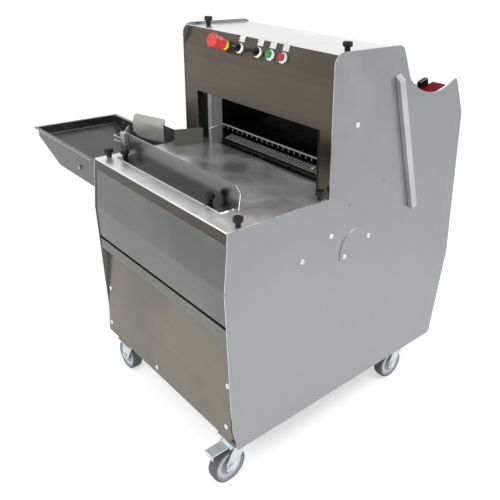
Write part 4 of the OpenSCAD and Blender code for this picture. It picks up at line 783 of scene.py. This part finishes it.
@dataclass
class Hood:
    """Hood front, top cover and the controls on the slanted strip, sizes in mm."""

    strip_y: float = -106.0
    fold_z: float = 1054.0
    run: float = 22.0
    rise: float = 55.0
    share: float = 0.38
    xs: tuple = (-120.0, -54.0, 27.0, 80.0, 131.0)
    collar: float = 14.75
    collar_height: float = 6.0
    barrel: float = 10.95
    barrel_depth: float = 24.0
    plunger: float = 9.0
    play: float = 0.05
    # The emergency stop: share of its radius and height of each ring
    estop: float = 20.0
    estop_depth: float = 18.5
    estop_neck: float = 11.5
    estop_rings: tuple = (
        (0.82, 11.5), (0.87, 12.5), (0.87, 35), (0.92, 39), (1, 43.5), (1, 50), (0.97, 52.4), (0.88, 54),
        (0.72, 54.5), (0.5, 54.1), (0, 53.8))
    # The push buttons: share of the plunger's radius and drop below the top of each ring
    button_depth: float = 19.5
    button_height: float = 6.0
    button_rings: tuple = ((1, 2.2), (1.18, 1.9), (1.18, 0.8), (1.1, 0.1), (0.95, 0), (0.8, 0.4), (0, 0.8))
    # The selectors: radius and height of each ring, then half width, inset, low, high and edge of the
    # handle and of the line on it
    selector_depth: float = 23.5
    selector_gap: float = 0.5
    selector_rings: tuple = ((12, 0), (12, 3.6), (11.2, 4.8), (9, 5), (0, 5))
    selector_bars: tuple = ((4.5, 0, 4.5, 15.6, 1.8), (1.2, 3, 15, 16, 0.3))

    def on_strip(self, x: float) -> Matrix:
        """The frame of a control: Y up the strip, Z out of it.

        Args:
            x: the control's place along the strip.

        Returns:
            The frame.
        """
        tilt = math.atan2(self.run, self.rise)
        point = mm(x, self.strip_y + self.run * self.share, self.fold_z + self.rise * self.share)
        return Matrix.Translation(point) @ Matrix.Rotation(math.pi / 2 - tilt, 4, "X")

    def build(self) -> None:
        """Builds the hood and then its controls."""
        # The hood front's dark brown tint is a painted reflection of the room
        Shop.sheet("hood_front", HOOD_REFLECTION_STEEL)
        Shop.dress("top_cover", COVER_STEEL, fold=4.0)
        Shop.dress("label_plates", WHITE_PLASTIC, edge=0.25)
        self.build_collars()
        self.build_estop()
        self.build_button("start_button", self.xs[3], GREEN_PLASTIC)
        self.build_button("stop_button", self.xs[4], RED_PLASTIC)
        self.build_selector("selector_left", self.xs[1], front=12.0, back=12.0, insert=GREEN_PLASTIC)
        self.build_selector("selector_right", self.xs[2], front=24.0, back=12.0, insert=BLACK_PLASTIC)

    def build_collars(self) -> None:
        """Collars with a stepped face, the first in yellow, each on its barrel."""
        work = bmesh.new()
        r, h, bore, foot = self.collar, self.collar_height, self.plunger + self.play, -self.barrel_depth
        rings = [
            (bore, foot), (self.barrel, foot), (self.barrel, 0), (r, 0), (r, h * 0.45), (r * 0.96, h * 0.7),
            (r * 0.88, h * 0.8), (r * 0.8, h), (r * 0.7, h), (bore, h * 0.9), (bore, foot)]
        for index, x in enumerate(self.xs):
            Shop.turned(work, rings, self.on_strip(x), slot=1 if index == 0 else 0, segments=48)
        bmesh.ops.remove_doubles(work, verts=work.verts, dist=Shop.weld)
        Shop.settle(Shop.from_bmesh("collar_set", work, [WHITE_PLASTIC, YELLOW_PLASTIC]), "control_collars")

    def build_estop(self) -> None:
        """A long round head with a slight waist, a rounded rim and a dished face."""
        work = bmesh.new()
        p, foot = self.plunger, -self.estop_depth
        head = [(self.estop * share, height) for share, height in self.estop_rings]
        rings = [(0, foot), (p, foot), (p, self.estop_neck), *head]
        Shop.turned(work, rings, self.on_strip(self.xs[0]), segments=56)
        Shop.settle(Shop.from_bmesh("estop_head", work, [STOP_RED]), "estop_button")

    def build_button(self, node: str, x: float, finish: Finish) -> None:
        """A push button with a soft rim and a dished face.

        Args:
            node: the node it stands for.
            x: its place along the strip.
            finish: its colour.
        """
        work = bmesh.new()
        p, foot, top = self.plunger, -self.button_depth, self.collar_height + self.button_height
        rings = [(0, foot), (p, foot), *((p * share, top - drop) for share, drop in self.button_rings)]
        Shop.turned(work, rings, self.on_strip(x), segments=40)
        Shop.settle(Shop.from_bmesh(node + "_cap", work, [finish]), node)

    def build_selector(self, node: str, x: float, front: float, back: float, insert: Finish) -> None:
        """A turning switch: disc, bar handle and a line on the bar.

        Args:
            node: the node it stands for.
            x: its place along the strip.
            front: reach of the handle to the left.
            back: reach of the handle to the right.
            insert: finish of the line on the handle.
        """
        work = bmesh.new()
        place = self.on_strip(x)
        p, foot, base = self.plunger, -self.selector_depth, self.collar_height + self.selector_gap
        disc = [(radius, base + height) for radius, height in self.selector_rings]
        Shop.turned(work, [(0, foot), (p, foot), (p, base), *disc], place, segments=40)
        for slot, (half, inset, low, high, edge) in enumerate(self.selector_bars):
            near, far = Vector((inset - front, -half, base + low)), Vector((back - inset, half, base + high))
            Shop.block(work, near, far, place, edge, slot)
        Shop.settle(Shop.from_bmesh(node + "_switch", work, [BLACK_PLASTIC, insert]), node)


@dataclass
class CuttingUnit:
    """Tunnel, loaf grid, bail, chute, pusher, blade frames and toothed blades, in mm and degrees."""

    slope_y: float = 185.0
    slope_z: float = 822.34
    tilt: float = 15.0
    wall_left: float = -230.0
    pitch: float = 12.0
    slices: int = 40
    pale_strip: float = 42.0
    grid_front: float = 237.0
    grid_back: float = 50.0
    bar: float = 10.0
    bar_edge: float = 1.2
    deep: float = 12.0
    finger: float = 5.0
    finger_edge: float = 1.8
    finger_root: float = 0.5
    # Length of the bright finger tips; the fingers behind them are darkened as painted shade
    tip: float = 42.0
    tip_deep: float = 6.0
    blade_set: float = 14.0
    blade_low: float = -180.0
    blade_high: float = 220.0
    blade_half: float = 6.0
    blade_thick: float = 0.6
    scallops: int = 40
    scallop_deep: float = 1.1
    scallop_flat: tuple = (0.3, 0.7)
    block_x: float = 253.0

    def on_slope(self) -> Matrix:
        """The tilted frame of the blades and the chute: Y up the chute, Z along the blades."""
        place = mm(0, self.slope_y, self.slope_z)
        return Matrix.Translation(place) @ Matrix.Rotation(math.radians(self.tilt), 4, "X")

    def lines(self, numbers: Iterable[float]) -> list[Matrix]:
        """Frames on slice lines, which are numbered from the left wall."""
        return [Matrix.Translation(mm(self.wall_left + self.pitch * n, 0, 0)) for n in numbers]

    def build(self) -> None:
        """Builds the loaf's path, then the blades and the pusher."""
        self.build_walls()
        Shop.dress("hold_down_bail", BAR_STEEL, edge=0.0)
        Shop.dress("infeed_chute", SHEET_STEEL)
        Shop.dress("pusher_rail", BAR_STEEL, edge=0.6)
        # Blade frames and guides darkened as painted shade of the cavity
        Shop.dress("blade_frame_a", SHADE_INNER_STEEL)
        Shop.dress("blade_frame_b", SHADE_INNER_STEEL)
        Shop.dress("blade_guides", SHADE_INNER_STEEL, edge=0.6)
        self.build_grid()
        self.build_blades("blades_a", -self.blade_set, 1)
        self.build_blades("blades_b", self.blade_set, 2)
        Shop.dress("pusher_carriage", BAR_STEEL, edge=0.6, other=BLACK_PLASTIC,
                   where=lambda face: face.calc_center_median().x > self.block_x * MM)
        Shop.dress("pusher_grip", GRIP_RED, edge=2.2)

    def build_walls(self) -> None:
        """The tunnel's two walls: sheets darkened as painted shade, the left one with a pale strip along its
        front.
        """
        walls = Shop.dress("tunnel_walls", SHADE_INNER_STEEL, other=RAIL_STEEL)
        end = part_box("tunnel_walls")[0].y + self.pale_strip * MM
        work = bmesh.new()
        work.from_mesh(walls.data)
        parts = [*work.verts, *work.edges, *work.faces]
        bmesh.ops.bisect_plane(work, geom=parts, plane_co=(0, end, 0), plane_no=(0, 1, 0))
        for face in work.faces:
            middle = face.calc_center_median()
            if middle.x < 0 and middle.y < end:
                face.material_index = Skin.OTHER
        work.to_mesh(walls.data)
        work.free()

    def build_grid(self) -> None:
        """Two cross bars and a row of rounded fingers between them, darkened as painted shade except at the
        bright tips.
        """
        place = self.on_slope()
        right = self.wall_left + self.pitch * self.slices
        bars = bmesh.new()
        for v in (-self.grid_front, self.grid_back):
            low, high = Vector((self.wall_left, v, -self.deep)), Vector((right, v + self.bar, 0))
            Shop.block(bars, low, high, place, self.bar_edge)
        Shop.settle(Shop.from_bmesh("loaf_grid_bars", bars, [SHADE_INNER_STEEL]), "loaf_grid")
        start, tip = self.bar - self.grid_front - self.finger_root, self.tip - self.grid_front
        end = self.grid_back + self.finger_root
        for name, near, far, deep, finish in (("loaf_grid_tips", start, tip, self.tip_deep, COMB_STEEL),
                                              ("loaf_grid_fingers", tip, end, self.deep, SHADE_INNER_STEEL)):
            shape = bmesh.new()
            low, high = Vector((-self.finger / 2, near, -deep)), Vector((self.finger / 2, far, 0))
            Shop.block(shape, low, high, place, self.finger_edge)
            fingers = Repeater.places(name, shape, finish, self.lines(i + 0.5 for i in range(self.slices)))
            Shop.settle(fingers, body="machine", slot=Shop.slot_of_node["loaf_grid"])

    def build_blades(self, node: str, v: float, first: int) -> None:
        """A row of blades with a scalloped cutting edge, darkened as painted shade.

        Args:
            node: the node that the row stands for.
            v: the blades' place along the chute.
            first: number of the first slice line that has a blade.
        """
        place = self.on_slope()
        back, edge = v - self.blade_half, v + self.blade_half
        hollow = edge - self.scallop_deep
        step = (self.blade_high - self.blade_low) / self.scallops
        outline = [(back, self.blade_low), (edge, self.blade_low)]
        near, far = (step * share for share in self.scallop_flat)
        for i in range(self.scallops):
            u = self.blade_low + step * i
            outline += [(hollow, u + near), (hollow, u + far), (edge, u + step)]
        outline.append((back, self.blade_high))
        shape = bmesh.new()
        half = self.blade_thick / 2
        left, right = ([shape.verts.new(place @ mm(x, y, z)) for y, z in outline] for x in (-half, half))
        shape.faces.new(left[::-1])
        shape.faces.new(right)
        for i, here in enumerate(left):
            j = (i + 1) % len(left)
            shape.faces.new([here, left[j], right[j], right[i]])
        bmesh.ops.recalc_face_normals(shape, faces=shape.faces)
        frames = self.lines(range(first, self.slices, 2))
        Shop.settle(Repeater.places(node + "_toothed", shape, BLADE_SHADE_STEEL, frames), node)


@dataclass
class Drive:
    """Crankshaft, rods, stand, motor, pulleys and belt, in mm and degrees."""

    motor_y: float = 40.0
    motor_z: float = 260.0
    motor_r: float = 72.0
    fin_from: float = 62.0
    fin_to: float = 205.0
    fin_height: float = 5.0
    fin_root: float = 2.0
    fin_half: float = 1.2
    fin_edge: float = 0.8
    fin_angles: tuple = (28, 36, 44, 52, 128, 136, 144, 152)

    def build(self) -> None:
        """Builds the moving drive parts and the motor."""
        for node in ("crankshaft", "conrod_a", "conrod_b", "motor_pulley"):
            Shop.dress(node, BAR_STEEL, edge=0.8)
        Shop.dress("drive_stand", FRAME_PAINT, edge=1.2)
        Shop.dress("motor", MOTOR_PAINT, edge=0.0)
        Shop.dress("drive_belt", BELT_RUBBER, edge=0.8)
        shape = bmesh.new()
        low = Vector((self.fin_from, -self.fin_half, self.motor_r - self.fin_root))
        high = Vector((self.fin_to, self.fin_half, self.motor_r + self.fin_height))
        Shop.block(shape, low, high, Matrix(), self.fin_edge)
        axis = Matrix.Translation(mm(0, self.motor_y, self.motor_z))
        frames = [axis @ Matrix.Rotation(math.radians(angle - 90), 4, "X") for angle in self.fin_angles]
        fins = Repeater.places("motor_fins", shape, MOTOR_PAINT, frames)
        Shop.settle(fins, body="machine", slot="motor_paint")


@dataclass
class Castors:
    """Swivel castors: plates with bolts, forks, turned wheels and the brake pedal, sizes in mm."""

    corners: tuple = ("fl", "fr", "rl", "rr")
    radius: float = 50.0
    half_wide: float = 16.0
    bore: float = 5.05
    hub: float = 14.0
    crown: float = 9.0
    sides: int = 64
    bolt_in: float = 31.0
    bolt_rings: tuple = ((0, -0.5), (5.5, -0.5), (5.5, 3.4), (4.9, 4), (0, 4))
    places: tuple = ((-280, -366), (280, -366), (-280, 290), (280, 290))
    plate_low: float = 122.0

    def build(self) -> None:
        """Builds the four castors and the pedal."""
        Shop.dress("castor_plates", ZINC, edge=0.8)
        Shop.dress("brake_pedal", ZINC, edge=1.2)
        for corner in self.corners:
            Shop.dress("castor_fork_" + corner, ZINC, edge=0.0)
            self.build_wheel("castor_wheel_" + corner)
        self.build_bolts()

    def build_wheel(self, node: str) -> None:
        """A turned wheel with a crowned tread, a pale ring and a hub on each side.

        Args:
            node: the wheel's node, which gives its middle and its axle's direction.
        """
        low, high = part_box(node)
        size = high - low
        axle = Vector((1, 0, 0)) if size.x < size.y else Vector((0, 1, 0))
        place = facing((low + high) / 2, axle)
        r, h, b, hub, flat = self.radius, self.half_wide, self.bore, self.hub, self.half_wide - self.crown
        work = bmesh.new()
        disc = [(b, h), (hub - 1, h), (hub, h - 1), (hub + 1, h - 4), (r * 0.52, h - 4.5)]
        ring = [(r * 0.52, h - 4.5), (r * 0.55, h - 3.2), (r * 0.72, h - 3.2), (r * 0.75, h - 4.2)]
        rim = [(r * 0.75, h - 4.2), (r * 0.8, h - 2), (r * 0.84, h - 0.6), (r * 0.86, h - 0.3)]
        tread = [(r * 0.86, h - 0.3), (r - 4, h), (r - 1.6, h - 1.6), (r - 0.3, h - 5), (r, flat)]
        body, pale, rubber = range(3)
        for rings, slot in ((disc, body), (ring, pale), (rim, body), (tread, rubber)):
            Shop.turned(work, rings[::-1], place, slot, self.sides)
            Shop.turned(work, [(a, -c) for a, c in rings], place, slot, self.sides)
        Shop.turned(work, [(r, -flat), (r, flat)], place, rubber, self.sides)
        Shop.turned(work, [(b, h), (b, -h)], place, body, self.sides)
        bmesh.ops.remove_doubles(work, verts=work.verts, dist=Shop.weld)
        bmesh.ops.recalc_face_normals(work, faces=work.faces)
        Shop.settle(Shop.from_bmesh(node + "_turned", work, [WHEEL_BODY, WHEEL_RING, TREAD_RUBBER]), node)

    def build_bolts(self) -> None:
        """Four bolt heads under each castor plate."""
        shape = bmesh.new()
        Shop.turned(shape, self.bolt_rings, Matrix(), segments=6)
        sides = (-self.bolt_in, self.bolt_in)
        points = [mm(x + dx, y + dy, self.plate_low) for x, y in self.places for dx in sides for dy in sides]
        frames = [facing(point, Vector((0, 0, -1))) for point in points]
        bolts = Repeater.places("castor_bolts", shape, SCREW_STEEL, frames)
        Shop.settle(bolts, body="machine", slot="zinc")


@dataclass(frozen=True)
class Lamp:
    """A soft round lamp: place, aim and size in metres, power in watts, spread in degrees."""

    place: Triple
    target: Triple
    size: float
    power: float
    spread: float = 180.0


@dataclass
class Studio:
    """Floor, light and camera: the floor in metres, the camera in mm and degrees."""

    floor_half: float = 14.0
    floor_shade: float = 0.8
    floor_roughness: float = 0.9
    floor_glow: float = 0.53
    fill: float = 0.62
    eye: Triple = (1345.9, -1140.9, 1348.9)
    azimuth: float = 45.547
    elevation: float = 20.729
    roll: float = 2.17
    lens: float = 44.573
    sensor: float = 36.0
    shift: tuple[float, float] = (-0.14, -0.14)
    lamps: tuple[Lamp, ...] = (
        Lamp((0.15, -1.25, 1.08), (0.15, -1.25, 0.0), size=0.9, power=9.0),
        Lamp((0.75, -1.15, 0.95), (-0.12, -0.1, 1.09), size=0.3, power=0.5, spread=30.0),
        Lamp((0.95, 0.2, 1.2), (0.95, 0.2, 0.0), size=0.6, power=7.0),
        Lamp((0.4, 2.6, 2.8), (0.0, 0.0, 0.5), size=1.8, power=22.0))

    def build(self) -> None:
        """Builds the whole studio."""
        self.build_world()
        self.build_floor()
        self.build_lamps()
        self.build_camera()
        bpy.context.scene.view_settings.view_transform = "Standard"

    @staticmethod
    def seen(tree: Tree) -> Socket:
        """A mask of the rays that see the background itself.

        Args:
            tree: the tree that gets its nodes.

        Returns:
            The mask: 1 on camera, glossy and transmission rays.
        """
        path = add(tree, "ShaderNodeLightPath").outputs
        mask = path["Is Camera Ray"]
        for label in ("Is Glossy Ray", "Is Transmission Ray"):
            most = add(tree, "ShaderNodeMath", {0: mask, 1: path[label]}, operation="MAXIMUM")
            mask = most.outputs["Value"]
        return mask

    def build_world(self) -> None:
        """An even room that is white where it is seen."""
        world = bpy.data.worlds.new("studio_room")
        world.use_nodes = True
        bpy.context.scene.world = world
        tree = world.node_tree
        dim = tree.nodes["Background"]
        feed(dim, {"Color": WHITE, "Strength": self.fill})
        white = add(tree, "ShaderNodeBackground", {"Color": WHITE, "Strength": 1.0})
        mix = add(tree, "ShaderNodeMixShader", {
            "Fac": self.seen(tree), 1: dim.outputs["Background"], 2: white.outputs["Background"]})
        feed(tree.nodes["World Output"], {"Surface": mix.outputs["Shader"]})

    def build_floor(self) -> None:
        """A pale floor that stays white away from the object's shadow."""
        work = bmesh.new()
        bmesh.ops.create_grid(work, x_segments=2, y_segments=2, size=self.floor_half)
        mesh = bpy.data.meshes.new("studio_floor")
        work.to_mesh(mesh)
        work.free()
        made = bpy.data.materials.new("pale_floor")
        made.use_nodes = True
        tree = made.node_tree
        shade = self.floor_shade
        lift = add(tree, "ShaderNodeMath", {0: self.seen(tree), 1: self.floor_glow}, operation="MULTIPLY")
        feed(tree.nodes["Principled BSDF"], {
            "Base Color": (shade, shade, shade, 1), "Roughness": self.floor_roughness,
            "Specular IOR Level": 0.0, "Emission Color": WHITE, "Emission Strength": lift.outputs["Value"]})
        mesh.materials.append(made)
        floor = put("studio_floor", mesh)

    def build_lamps(self) -> None:
        """Soft lamps: over the floor in front and on the right, one on the controls and one behind."""
        for index, lamp in enumerate(self.lamps):
            light = bpy.data.lights.new(f"soft_lamp_{index}", "AREA")
            light.shape = "DISK"
            light.size = lamp.size
            light.energy = lamp.power
            light.spread = math.radians(lamp.spread)
            made = put(light.name, light)
            made.matrix_world = facing(Vector(lamp.place), Vector(lamp.place) - Vector(lamp.target))
            made.visible_camera = False

    def build_camera(self) -> None:
        """The camera at the photograph's viewpoint."""
        camera = bpy.data.cameras.new("photo_camera")
        camera.lens = self.lens
        camera.sensor_width = self.sensor
        camera.shift_x, camera.shift_y = self.shift
        made = put("photo_camera", camera)
        place = Matrix.Translation(mm(*self.eye))
        for angle, axis in ((self.azimuth, "Z"), (90 - self.elevation, "X"), (self.roll, "Z")):
            place = place @ Matrix.Rotation(math.radians(angle), 4, axis)
        made.matrix_world = place
        bpy.context.scene.camera = made


def main() -> None:
    """Builds the studio and every sub-assembly, in order."""
    logging.basicConfig(level=logging.INFO, format="%(name)s: %(message)s")
    makers: tuple[Callable[[], None], ...] = (
        Studio().build, Cabinet().build, TableTop().build, Knobs().build, Hood().build,
        CuttingUnit().build, Drive().build, Castors().build)
    for maker in makers:
        maker()
    bpy.context.view_layer.update()


if __name__ == "__main__":
    main()
